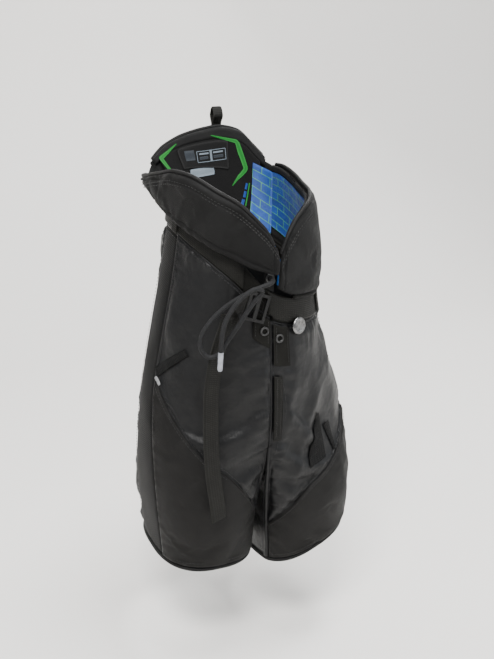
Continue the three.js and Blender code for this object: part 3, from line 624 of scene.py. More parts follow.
TARGET = Vector((-0.01635, -0.12205, -0.2389))
BACK = Vector((-0.35624, -0.88174, 0.30902))
CAMERA_DISTANCE = 1.150
SENSOR = 36
camera_data = bpy.data.cameras.new("camera")
camera_data.lens = 1000 / 659 * SENSOR
camera_data.sensor_fit = "VERTICAL"
camera_data.sensor_height = SENSOR
camera_data.shift_x = 0.0076
camera = bpy.data.objects.new("camera", camera_data)
bpy.context.scene.collection.objects.link(camera)
camera.location = TARGET + BACK * CAMERA_DISTANCE
camera.rotation_euler = (-BACK).to_track_quat("-Z", "Y").to_euler()
bpy.context.scene.camera = camera


ROUTE_STEPS = 24


def catmull_path(points, count):
    """A centripetal curve through the points, resampled to an even count, and its length (mm)."""
    points = np.asarray(points, float)
    place = np.arange(ROUTE_STEPS * (len(points) - 1) + 1) / ROUTE_STEPS
    curve = centripetal(points, place)
    run = lengths_along(curve)
    return columns_at(curve, np.linspace(0, run[-1], count), run), run[-1]


def tube(name, points, radius, material):
    """A round cord on the root body as a curve with real thickness (mm)."""
    curve = bpy.data.curves.new(name, "CURVE")
    curve.dimensions = "3D"
    curve.bevel_depth = radius * MM
    curve.bevel_resolution = 4
    curve.use_fill_caps = True
    spline = curve.splines.new("POLY")
    spline.points.add(len(points) - 1)
    for target, point in zip(spline.points, metres(points)):
        target.co = (*point, 1)
    obj = bpy.data.objects.new(name, curve)
    bpy.context.scene.collection.objects.link(obj)
    curve.materials.append(material)
    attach(obj, "root")
    return obj


LACE_RADIUS = 2.5
lace_points, lace_length = catmull_path(LACE_ROUTE, 150)
lace = tube("lace", lace_points, LACE_RADIUS, LACE)
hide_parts("waist_lace")


def lathe(name, profile, base, axis, material, body, sides=48, ring=False):
    """A turned piece, or a ring: radius and height pairs in mm, about an axis from a base in metres."""
    rotation = Vector((0, 0, 1)).rotation_difference(Vector(axis))
    vertices, faces = [], []
    for radius, height in profile:
        for k in range(sides):
            angle = 2 * math.pi * k / sides
            local = Vector((radius * math.cos(angle), radius * math.sin(angle), height)) * MM
            vertices.append(Vector(base) + rotation @ local)
    last = (len(profile) - 1) * sides
    for first in range(0, last, sides):
        faces += ring_faces(first, first + sides, sides)
    if ring:
        faces += ring_faces(last, 0, sides)
    else:
        faces += [tuple(range(sides - 1, -1, -1)), tuple(last + k for k in range(sides))]
    obj = new_object(name, vertices, faces, material)
    if not ring:
        obj.data.set_sharp_from_angle(angle=math.radians(40))
    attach(obj, body)
    return obj


lace_ahead = unit(lace_points[-1] - lace_points[-2])
AGLET_PROFILE = [(0.2, 0), (2.8, 0), (2.9, 0.4), (2.75, 1.6), (2.8, 3), (2.7, 10), (2.75, 17.6),
                 (2.3, 19.2), (1.6, 20), (0.2, 20)]
aglet = lathe("lace_tip", AGLET_PROFILE, metres(lace_points[-1] + 0.4 * lace_ahead), lace_ahead,
              AGLET_PLASTIC, "root", 32)
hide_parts("lace_aglet")
tuple(metres(LACE_ROUTE[0]))


# --- cloth relief


LATTICE = np.random.RandomState(11).uniform(-1, 1, (32, 32, 32))


def bumps(points, size, seed):
    """Smooth deterministic noise from about -1 to 1 at grid points (mm)."""
    place = points / size + seed * 7.31 + 1000
    cell = np.floor(place).astype(int)
    f = place - cell
    f = f * f * (3 - 2 * f)
    total = np.zeros(points.shape[:-1])
    for i in (0, 1):
        for j in (0, 1):
            for k in (0, 1):
                corner = (cell + [i, j, k]) % 32
                weight = np.prod(np.where([i, j, k], f, 1 - f), axis=-1)
                total += weight * LATTICE[corner[..., 0], corner[..., 1], corner[..., 2]]
    return total


def creases(points, size, seed):
    """Soft folds with sharper crests, from about -0.5 to 1."""
    first = 1 - 2.2 * np.abs(bumps(points, size, seed))
    second = 1 - 2.2 * np.abs(bumps(points, size * 0.45, seed + 1))
    return 0.85 * first + 0.15 * second


CLOTH_SETTINGS = {
    "quality": 6, "mass": 0.12, "air_damping": 2.0, "tension_stiffness": 30, "compression_stiffness": 12,
    "shear_stiffness": 6, "bending_stiffness": 0.35, "vertex_group_mass": "held",
}
LAST_STEP = 22


def settle(points, normals, grow, pressure, low, high, gravity=0.0, seed=1):
    """Relief (mm) of a cloth grid sewn down along its rim, from a short cloth simulation."""
    fade = np.clip(edge_distance(points) / 14, 0, 1)
    start = 0.7 * bumps(points, 26, seed) * fade
    rows, columns = points.shape[:2]
    held = edge_distance(points) < 1e-6
    faces = facing_out(grid_faces(rows, columns), points, normals)
    vertices = metres(points + normals * start[..., None]).reshape(-1, 3)
    cloth = new_object("settling", vertices, faces, NYLON)
    group = cloth.vertex_groups.new(name="held")
    group.add([int(k) for k in np.flatnonzero(held.ravel())], 1.0, "REPLACE")
    modifier = cloth.modifiers.new("cloth", "CLOTH")
    settings = modifier.settings
    for key, value in CLOTH_SETTINGS.items():
        setattr(settings, key, value)
    settings.shrink_min = settings.shrink_max = -grow
    settings.use_pressure = pressure > 0
    settings.uniform_pressure_force = pressure
    settings.effector_weights.gravity = gravity
    modifier.collision_settings.use_collision = False
    modifier.collision_settings.use_self_collision = False
    scene = bpy.context.scene
    for step in range(1, LAST_STEP + 1):
        scene.frame_set(step)
    graph = bpy.context.evaluated_depsgraph_get()
    settled = cloth.evaluated_get(graph).data
    flat = np.empty(len(settled.vertices) * 3, np.float32)
    settled.vertices.foreach_get("co", flat)
    moved = flat.reshape(rows, columns, 3) / MM + ORIGIN - points
    bpy.data.objects.remove(cloth)
    scene.frame_set(1)
    relief = np.einsum("ijk,ijk->ij", moved, normals)
    return np.where(relief < 0, low * np.tanh(relief / low), high * np.tanh(relief / high))


# --- more builders


def span(side, a, b):
    return (a, b) if side > 0 else (-b, -a)


def stands_for(obj, slot_name, *nodes):
    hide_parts(*nodes)
    return obj


def flat_size(points):
    """Width, length and area of the cloth in metres, as cut flat."""
    cloth = cloth_coordinates(points) * MM
    du = np.linalg.norm(np.diff(points, axis=1), axis=-1)[:-1]
    dv = np.linalg.norm(np.diff(points, axis=0), axis=-1)[:, :-1]
    area = float((du * dv).sum()) * 1e-6
    return float(cloth[..., 0].max()), float(cloth[..., 1].max()), area


def piece(name, grid, lift, thickness, material, roll, relief, slot_name, node, rests_on=None,
          body="root"):
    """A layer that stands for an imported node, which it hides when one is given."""
    points, normals = grid
    obj = layer(name, points, normals, lift, thickness, material, body, roll, relief)
    if node:
        stands_for(obj, slot_name, node)
    if rests_on:
        declare_sheet(points)
    return obj


def ripple(points, height, size, seed, rim):
    """Soft unevenness that fades out towards the rim."""
    return height * bumps(points, size, seed) * np.clip(edge_distance(points) / rim, 0, 1)


def declare_sheet(points):
    width, length, area = flat_size(points)
    width *= max(1.0, area / (width * length))


def rope(name, points, radius, material, body=None, closed=False, sides=10):
    """A round rope as a mesh along points (mm), with cloth coordinates round and along it."""
    points = np.asarray(points, float)
    count = len(points)
    if closed:
        ahead = np.roll(points, -1, 0) - np.roll(points, 1, 0)
    else:
        ahead = np.gradient(points, axis=0)
    ahead = unit(ahead)
    across = unit(np.cross(ahead, [0.02, 0.03, 1.0]))
    up = np.cross(across, ahead)
    angles = 2 * math.pi * np.arange(sides) / sides
    ring = np.cos(angles)[None, :, None] * across[:, None] + np.sin(angles)[None, :, None] * up[:, None]
    radii = np.full(count, float(radius))
    if not closed:
        radii[0] = radii[-1] = radius * 0.55
    vertices = (points[:, None] + ring * radii[:, None, None]).reshape(-1, 3)
    cloth = np.zeros((count, sides, 3))
    cloth[..., 0] = angles * radius
    cloth[..., 1] = lengths_along(points)[:, None]
    faces = []
    for i in range(count if closed else count - 1):
        faces += ring_faces(i * sides, (i + 1) % count * sides, sides)
    if not closed:
        faces.append(tuple(range(sides)))
        faces.append(tuple((count - 1) * sides + k for k in reversed(range(sides))))
        faces = [tuple(reversed(f)) for f in faces]
    return new_object(name, metres(vertices), faces, material, body, cloth.reshape(-1, 3) * MM)


STITCH_SHARES = np.array([0, 0.18, 0.5, 0.82, 1])
STITCH_LIFTS = (-0.4, 0.5, 0.8, 0.5, -0.4)
STITCH_SIZES = (0.5, 1, 1.1, 1, 0.5)


def stitches(name, points, normals, material, body=None, length=2.6, gap=1.5, radius=0.32):
    """A run of thread stitches lying on a line (mm)."""
    points, normals = np.asarray(points, float), np.asarray(normals, float)
    run = lengths_along(points)
    vertices, faces = [], []
    for start in np.arange(gap / 2, run[-1] - length, length + gap):
        place = start + STITCH_SHARES * length
        line, normal = columns_at(points, place, run), columns_at(normals, place, run)
        side = unit(np.cross(unit(line[-1] - line[0]), normal[2]))
        base = len(vertices)
        for j in range(5):
            for k in range(6):
                angle = math.pi * k / 3
                offset = math.cos(angle) * side + math.sin(angle) * normal[j]
                vertices.append(line[j] + radius * (normal[j] * STITCH_LIFTS[j] + offset * STITCH_SIZES[j]))
        for first in range(base, base + 24, 6):
            faces += ring_faces(first, first + 6, 6)
        faces.append(tuple(base + k for k in reversed(range(6))))
        faces.append(tuple(base + 24 + k for k in range(6)))
    return new_object(name, metres(np.array(vertices)), faces, material, body)


def seam_stitches(name, turns, falls, lift):
    """Stitches on the body along a line of bearings and falls."""
    points, normals = on_skin(*np.broadcast_arrays(np.asarray(turns, float), np.asarray(falls, float)))
    stitches(name, points + normals * lift, normals, THREAD, "root")


def on_front(x, z, lift=0.0):
    """The place on the front skin at a given x and z (mm), and its outward normal."""
    side = -1 if x < 0 else 1
    low, high = 0.0, 0.5

    def fall_at(u):
        top = float(waist_height(side * u))
        return min(1.0, (top - z) / (top - float(hem_height(side, x))))

    for _ in range(24):
        middle = (low + high) / 2
        if abs(float(skin(side * middle, fall_at(middle))[..., 0])) < abs(x):
            low = middle
        else:
            high = middle
    turn, fall = side * low, fall_at(low)
    point, normal = on_skin(np.array(turn), np.array(fall))
    return point + normal * lift, normal


# --- body panels

SIDES = (("right", -1), ("left", 1))
SEAM_TURN = 0.0018
SEAM_FALL = 0.0012
GUARD_FOOT = {"right": 0.46, "left": 0.55}


def guard_seam(name):
    def line(turn):
        return lerp(0.86, GUARD_FOOT[name], np.abs(turn / FRONT_SIDE_SEAM) ** 0.95)
    return line


def level(fall):
    return lambda turn: np.full_like(np.asarray(turn, float), fall)


def shift(line, by):
    return lambda turn: line(turn) + by


below_band = fall_below(WAISTBAND_HEIGHT + SEAM_GAP)


def fly_pucker(points):
    """Gathers that run out from the fly seam, strongest beside it."""
    x, z = np.abs(points[..., 0]), points[..., 2]
    reach = np.exp(-np.maximum(x - 6, 0) / 16) * np.clip(x / 6, 0, 1)
    wander = 4 * np.sin(z / 23) + 0.35 * x
    return 1.5 * reach * np.sin((z + wander) * 2 * math.pi / 15) * np.clip((z - 60) / 60, 0, 1)


def turned_axes(angle, stretch):
    """Turns x and z by an angle and stretches along the turned z, for slanting folds."""
    c, s = math.cos(angle), math.sin(angle)
    return np.array([[c, 0, s], [0, 1, 0], [-s * stretch, 0, c * stretch]])


FOLD_TURN = {"right": turned_axes(0.55, 0.42), "left": turned_axes(-0.35, 0.42)}


SHELL_FOLDS = {}
# What lies over the front shells at the fly, as turn and fall: the cloth stays flat under it.
FLY_COVERS = {"right": [(0.078, 0.21)], "left": [(0.078, 0.25), (0.043, 0.51)]}
PATCH_TURN = 300           # mm of cloth in half a turn, for patches on the front shells
PATCH_FALL = 400           # mm of cloth from waist to hem


def front_shell(name, side):
    seam = guard_seam(name)
    bearings = span(side, SEAM_TURN, FRONT_SIDE_SEAM - SEAM_TURN)
    points, normals, turns, falls = body_grid(bearings, below_band, shift(seam, -SEAM_FALL))
    relief = settle(points, normals, 0.09, 4.0, -1.2, 6.5, gravity=0.6, seed=3 + side)
    fade = np.clip(edge_distance(points) / 10, 0, 1)
    slanted = points @ FOLD_TURN[name].T
    relief = relief + fade * (4.4 * creases(slanted, 46, 5) + 1.2 * fly_pucker(points))
    relief = np.clip(relief, -1.4, 9)
    for turn_end, fall_end in FLY_COVERS[name]:
        beside = np.maximum(smooth(np.abs(turns), turn_end, turn_end + 0.04),
                            smooth(falls, fall_end, fall_end + 0.05))
        relief = np.minimum(relief, 0.1 + 8.9 * beside)
    SHELL_FOLDS[name] = (turns, falls, relief)
    piece(f"{name}_front_cloth", (points, normals), 0, SHELL, NYLON, 2.2, relief, "nylon",
          f"{name}_front_shell", "waistband_" + name)


def thigh_guard(name, side):
    seam = guard_seam(name)
    bearings = span(side, SEAM_TURN, FRONT_SIDE_SEAM - SEAM_TURN)
    points, normals, _, _ = body_grid(bearings, shift(seam, SEAM_FALL), level(1))
    relief = settle(points, normals, 0.02, 4.0, -0.8, 4.0, seed=7 + side)
    relief = relief + 0.9 * bumps(points, 46, 9)
    piece(f"{name}_guard_cloth", (points, normals), GUARD_LIFT, SHELL + GUARD_LIFT, GUARD, 3.5, relief,
          "guard", f"{name}_thigh_guard")


def side_and_rear(name, side):
    bearings = span(side, FRONT_SIDE_SEAM + SEAM_TURN, REAR_SIDE_SEAM - SEAM_TURN)
    points, normals, _, _ = body_grid(bearings, below_band, level(1))
    piece(f"{name}_side_cloth", (points, normals), 0, SHELL, MESH, 1.5, ripple(points, 0.6, 30, 11, 8),
          "mesh", f"{name}_side_panel", "waistband_" + name)
    bearings = span(side, REAR_SIDE_SEAM + SEAM_TURN, 1 - SEAM_TURN)
    points, normals, _, _ = body_grid(bearings, below_band, level(1), 4.0)
    relief = settle(points, normals, 0.07, 3.0, -1.2, 6.0, gravity=0.6, seed=12 + side)
    folds = creases(points * [1, 1, 0.5], 34, 13)
    relief = relief + 3.2 * folds * np.clip(edge_distance(points) / 10, 0, 1)
    relief = np.clip(relief, -1.4, 8.5)
    piece(f"{name}_rear_cloth", (points, normals), 0, SHELL, NYLON, 2.2, relief, "nylon",
          f"{name}_rear_shell", "waistband_" + name)


def inside_layer(name, node, bearings, upper, lower, lift, thickness, material, slot_name, roll):
    points, normals, _, _ = body_grid(bearings, upper, lower, 6.0)
    d = np.clip(edge_distance(points) / 12, 0, 1)
    relief = -0.4 * (1 - d) if material is FOAM else None
    piece(name, (points, normals), lift, thickness, material, roll, relief, slot_name, node)


def share(seam, part):
    return lambda turn: lerp(seam(turn), 1.0, part)


def inner_guards(name, side):
    foam = -SHELL - LAYER_GAP
    plate = foam - PAD - LAYER_GAP
    seam = guard_seam(name)
    thigh = span(side, 2 * TURN_STEP, 9 * TURN_STEP)
    hip = span(side, 10.5 * TURN_STEP, 15 * TURN_STEP)
    for place, bearings, upper, lower in (
            ("thigh", thigh, share(seam, 0.05), share(seam, 0.95)),
            ("hip", hip, level(2 / 12), level(6 / 12))):
        inside_layer(f"{name}_{place}_foam", f"{name}_{place}_pad", bearings, upper, lower, foam, PAD,
                     FOAM, "foam", 3)
        inside_layer(f"{name}_{place}_shield", f"{name}_{place}_plate", bearings, upper, lower, plate,
                     PLATE, PLATE_PLASTIC, "hard_plate", 1.1)


def gusset(name, side):
    along = fine(0.035, 0.965, 4, 190)
    falls = fine(CROTCH_FALL + SEAM_FALL, 1, 4, 160)
    u, v = np.meshgrid(along, falls)

    def surface(a, b):
        return inner_leg(side, a, b)

    points, normals = surface(u, v), normals_of(surface, u, v, side)
    relief = np.minimum(ripple(points, 0.7, 22, 15, 10), 0.25)
    piece(f"{name}_gusset_cloth", (points, normals), 0, SHELL, NYLON, 1.5, relief, "nylon", f"{name}_gusset",
          f"{name}_front_cloth")


def hem_outline(side, t):
    outer = 0.78
    a = skin(side * np.clip(t / outer, 1e-6, 1 - 1e-6), 1.0)
    b = inner_leg(side, np.clip(1 - (t - outer) / (1 - outer), 0, 1), 1.0)
    place = np.where((t < outer)[:, None], a, b)
    inward = unit(np.stack([side * LEG_CENTRE - place[:, 0], -place[:, 1], np.zeros(len(t))], -1))
    return place + inward * SHELL / 2 - np.array([0, 0, HEM_RADIUS + SEAM_GAP])


def hem(name, side):
    line = hem_outline(side, np.arange(220) / 220)
    obj = rope(f"{name}_hem_roll", line, HEM_RADIUS, PIPING, "root", closed=True, sides=12)
    stands_for(obj, "piping", f"{name}_hem_binding")


def waistband():
    lines = fall_below(SEAM_GAP), fall_below(WAISTBAND_HEIGHT - SEAM_GAP)
    for name, bearings in (("right", (-1 + SEAM_TURN, -SEAM_TURN)), ("left", (SEAM_TURN, 1 - SEAM_TURN))):
        points, normals, _, _ = body_grid(bearings, *lines)
        piece(f"waistband_{name}", (points, normals), 0, BAND_THICKNESS, BAND, 1.4,
              0.35 * bumps(points, 14, 17), "webbing", f"{name}_waistband")


def rolled_seam(name, points, radius, sides=8, material=None):
    """The rolled cloth in a seam between two panels."""
    rope(name, points, radius, material or NYLON, "root", sides=sides)


def seam_tape(name, turns, falls, radius, sink=1.9):
    points, normals = on_skin(turns, falls)
    rolled_seam(name, points - normals * sink, radius)


def seam_tapes(name, side):
    seam = guard_seam(name)
    turns = np.linspace(*span(side, 0.003, FRONT_SIDE_SEAM - 0.003), 90)
    seam_tape(f"{name}_guard_seam", turns, seam(turns), 2.0)
    falls = np.linspace(0.06, 1.006, 110)
    for label, turn in (("front", FRONT_SIDE_SEAM), ("rear", REAR_SIDE_SEAM)):
        seam_tape(f"{name}_{label}_seam", np.full(110, side * turn), falls, 2.3, 2.3)
    turns = np.linspace(*span(side, 0.004, 0.996), 200)
    seam_tape(f"{name}_band_seam", turns, fall_below(WAISTBAND_HEIGHT)(turns), 1.5)
    falls = np.linspace(CROTCH_FALL, 1.004, 80)
    for label, turn, along in (("front", 0.0018, 0.035), ("rear", 0.9982, 0.965)):
        outer, inner = skin(side * turn, falls), inner_leg(side, along, falls)
        middle = (outer + inner) / 2
        centre = np.stack([side * edge_offset(falls) + side * 20, 0 * falls, middle[:, 2]], -1)
        rolled_seam(f"{name}_{label}_inseam", middle + unit(centre - middle) * 1.6, 3.6, 10)


for label, turn in (("front", 0.0), ("rear", 1.0)):
    falls = np.linspace(0.1, CROTCH_FALL + 0.02, 80)
    beside = abs(turn - 1e-6)
    line = (skin(beside, falls) + skin(-beside, falls)) / 2
    rolled_seam(f"centre_{label}_seam", line + np.array([0, -2.4 if turn else 2.4, 0]), 2.0)

waistband()
for side_name, side_sign in SIDES:
    seam_tapes(side_name, side_sign)
    front_shell(side_name, side_sign)
    thigh_guard(side_name, side_sign)
    side_and_rear(side_name, side_sign)
    inner_guards(side_name, side_sign)
    gusset(side_name, side_sign)
    hem(side_name, side_sign)
for kind, lift, thickness, material, slot_name, roll in (
        ("pad", -SHELL - LAYER_GAP, PAD, FOAM, "foam", 3),
        ("plate", -SHELL - PAD - 2 * LAYER_GAP, PLATE, PLATE_PLASTIC, "hard_plate", 1.1)):
    inside_layer(f"tailbone_{kind}_fine", f"tailbone_{kind}", (20 * TURN_STEP, 28 * TURN_STEP),
                 level(2 / 12), level(5 / 12), lift, thickness, material, slot_name, roll)

for side_name, side_sign in SIDES:
    seam_line = guard_seam(side_name)
    bearing_line = np.linspace(*span(side_sign, 0.01, FRONT_SIDE_SEAM - 0.01), 120)
    seam_stitches(f"{side_name}_guard_stitch_above", bearing_line, seam_line(bearing_line) - 0.011, 0.6)
    seam_stitches(f"{side_name}_guard_stitch_below", bearing_line, seam_line(bearing_line) + 0.013, 2.9)
    fall_line = np.linspace(0.1, 0.985, 160)
    for label, turn, part in (("front", FRONT_SIDE_SEAM - 0.012, fall_line[:60]),
                              ("rear", REAR_SIDE_SEAM + 0.012, fall_line)):
        seam_stitches(f"{side_name}_side_stitch_{label}", side_sign * turn, part, 0.7)
    bearing_line = np.linspace(*span(side_sign, 0.08, 0.985), 200)
    band_line = fall_below(WAISTBAND_HEIGHT + 3.6)
    seam_stitches(f"{side_name}_band_stitch", bearing_line, band_line(bearing_line), 0.7)
    bearing_line = np.linspace(*span(side_sign, 0.012, FRONT_SIDE_SEAM - 0.012), 160)
    seam_stitches(f"{side_name}_hem_stitch", bearing_line, level(0.982)(bearing_line), 2.9)


# --- hip wraps and back panel


def surface_grid(surface, low, high, bottom, top, pitch, width, height):
    u, v = np.meshgrid(fine(low, high, pitch, width), fine(bottom, top, pitch, height))
    return surface(u, v), normals_of(surface, u, v, 1)


def rim_groove(points, distance, width, depth):
    """A stitched channel at a distance from the rim."""
    d = edge_distance(points)
    return -depth * np.exp(-((d - distance) / width) ** 2)


def piping_line(surface, thickness):
    u = np.linspace(0.03, 0.97, 110)
    point = surface(u, 1.0)
    normal = normals_of(surface, u, np.full_like(u, 0.99), 1)
    rise = unit(np.cross(normal, surface(u + 0.01, 1.0) - surface(u - 0.01, 1.0)))
    return point - normal * thickness / 2 + rise * 0.9


def rim_band(name, surface, low, high, foot, thickness, width, body):
    """The padded inner border under the rim of a wrap or the back panel."""
    points, normals = surface_grid(surface, low, high, foot, 0.995, 2.5, width, 14)
    return piece(name, (points, normals), -WRAP + 0.3, thickness, WRAP_CLOTH, 2.4,
                 0.3 * bumps(points, 20, 61), "wrap", None, body=body)


def wrap(name, surface, lining_low, lining_high, hinge):
    def bends(obj):
        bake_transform(obj)

    points, normals = surface_grid(surface, 0, 1, 0, 1, 3.0, 330, 85)
    relief = settle(points, normals, 0.035, 5.0, -1.0, 5.0, seed=21 + len(name))
    relief = relief + rim_groove(points, 9, 1.4, 1.7) + 0.6 * bumps(points, 30, 23)
    relief = relief - np.clip(relief.max(), 0, 3) * 0.35
    bends(piece(f"{name}_wrap_cloth", (points, normals), 0, WRAP, WRAP_CLOTH, 4.0, relief, "wrap",
                f"{name}_hip_wrap", body=None))
    low, high = 1 / 22, 21 / 22
    points, normals = surface_grid(surface, low, high, lining_low, lining_high, 3.5, 300, 60)
    relief = np.minimum(ripple(points, 0.7, 22, 25, 10), 0.4)
    bends(piece(f"{name}_wrap_inside", (points, normals), -WRAP - LAYER_GAP, LINING, PRINT, 0.8, relief,
                "print", f"{name}_wrap_lining", f"{name}_wrap_cloth", body=None))
    bends(rim_band(f"{name}_wrap_rim_band", surface, 0.02, 0.98, 0.9, 2.8, 320, None))
    obj = rope(f"{name}_wrap_rim", piping_line(surface, WRAP), PIPING_RADIUS, PIPING)
    stands_for(obj, "piping", f"{name}_wrap_piping")
    bends(obj)
    if name == "right":
        u, v = np.linspace(0.8, 0.985, 60), np.full(60, 1.0)
    else:
        u, v = np.full(60, 0.008), np.linspace(0.1, 0.97, 60)
    line = surface(u, v) + normals_of(surface, u, v, 1) * -5.5
    obj = rope(f"{name}_wrap_front_trim", line, 1.5, BLUE_PIPING)
    bends(obj)
    u = np.linspace(0.02, 0.98, 260)
    for row, at in enumerate((9.0, 12.5)):
        v = 1 - at / np.linalg.norm(surface(u, 1.0) - surface(u, 0.0), axis=1)
        normal = normals_of(surface, u, v, 1)
        obj = stitches(f"{name}_wrap_stitch_{row}", surface(u, v) + normal * 0.6, normal, THREAD)
        bends(obj)


def wing_hinge(side, reach=60):
    """Two points from a wrap's hinge line forwards, in metres."""
    start = np.array([side * 64.0, 60, 385])
    ahead = unit(np.array([side * 0.25, -1.0, 0]))
    return tuple(metres(start)), tuple(metres(start + ahead * reach))


RIGHT_SURFACE = edge_surface(RIGHT_WRAP_EDGE, RIGHT_STAND_OFF, WRAP_BULGE)
LEFT_SURFACE = edge_surface(LEFT_WRAP_EDGE, LEFT_STAND_OFF, WRAP_BULGE)
wrap("right", RIGHT_SURFACE, 0.5, 0.9, wing_hinge(-1))
wrap("left", LEFT_SURFACE, 0.14, 0.9, wing_hinge(1))


BACK_SURFACE = edge_surface(BACK_EDGE, 1.5, 4)
BACK_PLATE_LIFT = -WRAP - LAYER_GAP
BACK_LINING_LIFT = BACK_PLATE_LIFT - PLATE - LAYER_GAP
LABEL_LIFT = BACK_LINING_LIFT - LINING - LAYER_GAP


def back_panel():
    points, normals = surface_grid(BACK_SURFACE, 0, 1, 0, 1, 3.0, 230, 90)
    relief = settle(points, normals, 0.025, 5.0, -1.0, 4.0, seed=31)
    relief = relief + rim_groove(points, 9, 1.4, 1.4) - 0.8
    piece("back_cushion", (points, normals), 0, WRAP, WRAP_CLOTH, 4.0, relief, "wrap", "back_panel")
    obj = rope("back_rim", piping_line(BACK_SURFACE, WRAP), PIPING_RADIUS, PIPING, "root")
    stands_for(obj, "piping", "back_panel_piping")
    grid = surface_grid(BACK_SURFACE, 4 / 18, 14 / 18, 1 / 6, 0.84, 6.0, 130, 65)
    piece("spine_shield", grid, BACK_PLATE_LIFT, PLATE, PLATE_PLASTIC, 1.1, None, "hard_plate", "spine_plate")
    points, normals = surface_grid(BACK_SURFACE, 1 / 18, 17 / 18, 0.12, 0.86, 3.0, 200, 70)
    relief = np.minimum(ripple(points, 0.8, 24, 33, 10), 0.5)
    obj = piece("back_inside", (points, normals), BACK_LINING_LIFT, LINING, LINING_CLOTH, 0.8, relief,
                "lining", "back_lining")
    rim_band("back_rim_band", BACK_SURFACE, 0.015, 0.985, 0.845, 5.6, 230, "root")
    declare_sheet(points)
    grid = surface_grid(BACK_SURFACE, 7 / 18, 14 / 18, 0.5, 5 / 6, 2.5, 60, 30)
    piece("size_label_cloth", grid, LABEL_LIFT, SIZE_LABEL, LABEL, 0.3, None, "label", "size_label",
          "back_inside")


back_panel()


def gore(name, wrap_surface, wrap_u, back_u, wrap_lift, back_lift, thickness, material, slot_name, top,
         back_top):
    """A flat insert between the rear end of a wrap and the edge of the back panel."""
    rows, columns = np.linspace(0.03, top, 34), np.linspace(0, 1, 16)

    def end_line(surface, u, v, lift):
        u = np.full(len(v), u)
        return surface(u, v) + normals_of(surface, u, v, 1) * lift

    wrap_end = end_line(wrap_surface, wrap_u, rows, wrap_lift)
    back_end = end_line(BACK_SURFACE, back_u, rows * back_top / top, back_lift)
    points = back_end[:, None] + (wrap_end - back_end)[:, None] * columns[None, :, None]
    normals = unit(np.cross(np.gradient(points, axis=1), np.gradient(points, axis=0)))
    if np.einsum("ijk,ijk->", normals, points * LEVEL) < 0:
        normals = -normals
    points = points + normals * (2.0 * np.sin(math.pi * columns))[None, :, None]
    piece(name, (points, normals), 0, thickness, material, thickness / 2, None, slot_name, None,
          "back_cushion")


gore("left_gore_outside", LEFT_SURFACE, 0.985, 0.02, -2, -2, 3.0, WRAP_CLOTH, "wrap", 0.97, 0.97)
gore("left_gore_inside", LEFT_SURFACE, 0.945, 0.13, -9.6, BACK_LINING_LIFT - 3.0, 1.6, PRINT, "print", 0.9,
     0.74)
gore("right_gore_outside", RIGHT_SURFACE, 0.015, 0.98, -2, -2, 3.0, WRAP_CLOTH, "wrap", 0.97, 0.97)


def waist_seal(name, low, high, out):
    """The rolled seam that closes the waist under a wrap or the back panel."""
    line = skin(np.linspace(low, high, 140), 0)
    rolled_seam(name, line + unit(line * LEVEL) * out, 3.4, 8, BAND)


waist_seal("waist_seal_left", 0.1, 0.8, 2.2)
waist_seal("waist_seal_back", 0.76, 1.24, -2.4)

dense_u, dense_v = np.meshgrid(np.linspace(0, 1, 181), np.linspace(0, 1, 91))
dense_back = BACK_SURFACE(dense_u, dense_v)


def on_back(x, z, lift):
    """The place on the inner face of the back panel at a given x and z (mm), and its normal."""
    miss = (dense_back[..., 0] - x) ** 2 + (dense_back[..., 2] - z) ** 2
    row, column = np.unravel_index(int(np.argmin(miss)), miss.shape)
    u, v = dense_u[row, column], dense_v[row, column]
    for _ in range(6):
        here = BACK_SURFACE(u, v)
        du = (BACK_SURFACE(u + 1e-3, v) - here) / 1e-3
        dv = (BACK_SURFACE(u, v + 1e-3) - here) / 1e-3
        step = np.linalg.solve(np.array([[du[0], dv[0]], [du[2], dv[2]]]), [x - here[0], z - here[2]])
        u, v = float(np.clip(u + step[0], 0.002, 0.998)), float(np.clip(v + step[1], 0.002, 0.998))
    normal = normals_of(BACK_SURFACE, np.array(u), np.array(v), 1)
    return BACK_SURFACE(u, v) + normal * lift, -normal


def ribbon(name, project, corners, widths, material, thickness, count):
    """A printed or stuck-on band along a line of x and z places (mm), laid on a surface; it also lays the
    strip of painted fold shadow on the right shell.
    """
    corners = np.asarray(corners, float)
    run = lengths_along(corners)
    even = np.linspace(0, run[-1], count)
    line = columns_at(corners, even, run)
    if len(corners) > 2:
        kernel = np.ones(5) / 5
        padded = np.pad(line, ((2, 2), (0, 0)), mode="edge")
        line = np.stack([np.convolve(padded[:, k], kernel, "valid") for k in range(2)], -1)
    width = np.interp(even, run, widths)
    ahead = unit(np.gradient(line, axis=0))
    side = np.stack([-ahead[:, 1], ahead[:, 0]], -1)
    points = np.zeros((count, 4, 3))
    normals = np.zeros((count, 4, 3))
    for j in range(count):
        for i, part in enumerate((-0.5, -0.17, 0.17, 0.5)):
            x, z = line[j] + side[j] * part * width[j]
            points[j, i], normals[j, i] = project(x, z)
    obj = layer(name, points, normals, thickness, thickness, material, "root", 0.2)


def back_face(x, z):
    return on_back(x, z, BACK_LINING_LIFT - LINING - 0.25)


def label_face(x, z):
    return on_back(x, z, LABEL_LIFT - SIZE_LABEL - 0.15)


def on_shell(name, lift):
    """Places on the folded front shell from its own cloth places (mm), with their normals."""
    turns, falls, relief = SHELL_FOLDS[name]

    def project(a, b):
        turn, fall = a / PATCH_TURN, b / PATCH_FALL
        miss = ((turns - turn) * PATCH_TURN) ** 2 + ((falls - fall) * PATCH_FALL) ** 2
        near = np.argpartition(miss.ravel(), 6)[:6]
        weight = 1 / (miss.ravel()[near] + 0.4)
        height = float((weight * relief.ravel()[near]).sum() / weight.sum())
        point, normal = on_skin(np.array(turn), np.array(fall))
        return point + normal * (height + lift), normal

    return project


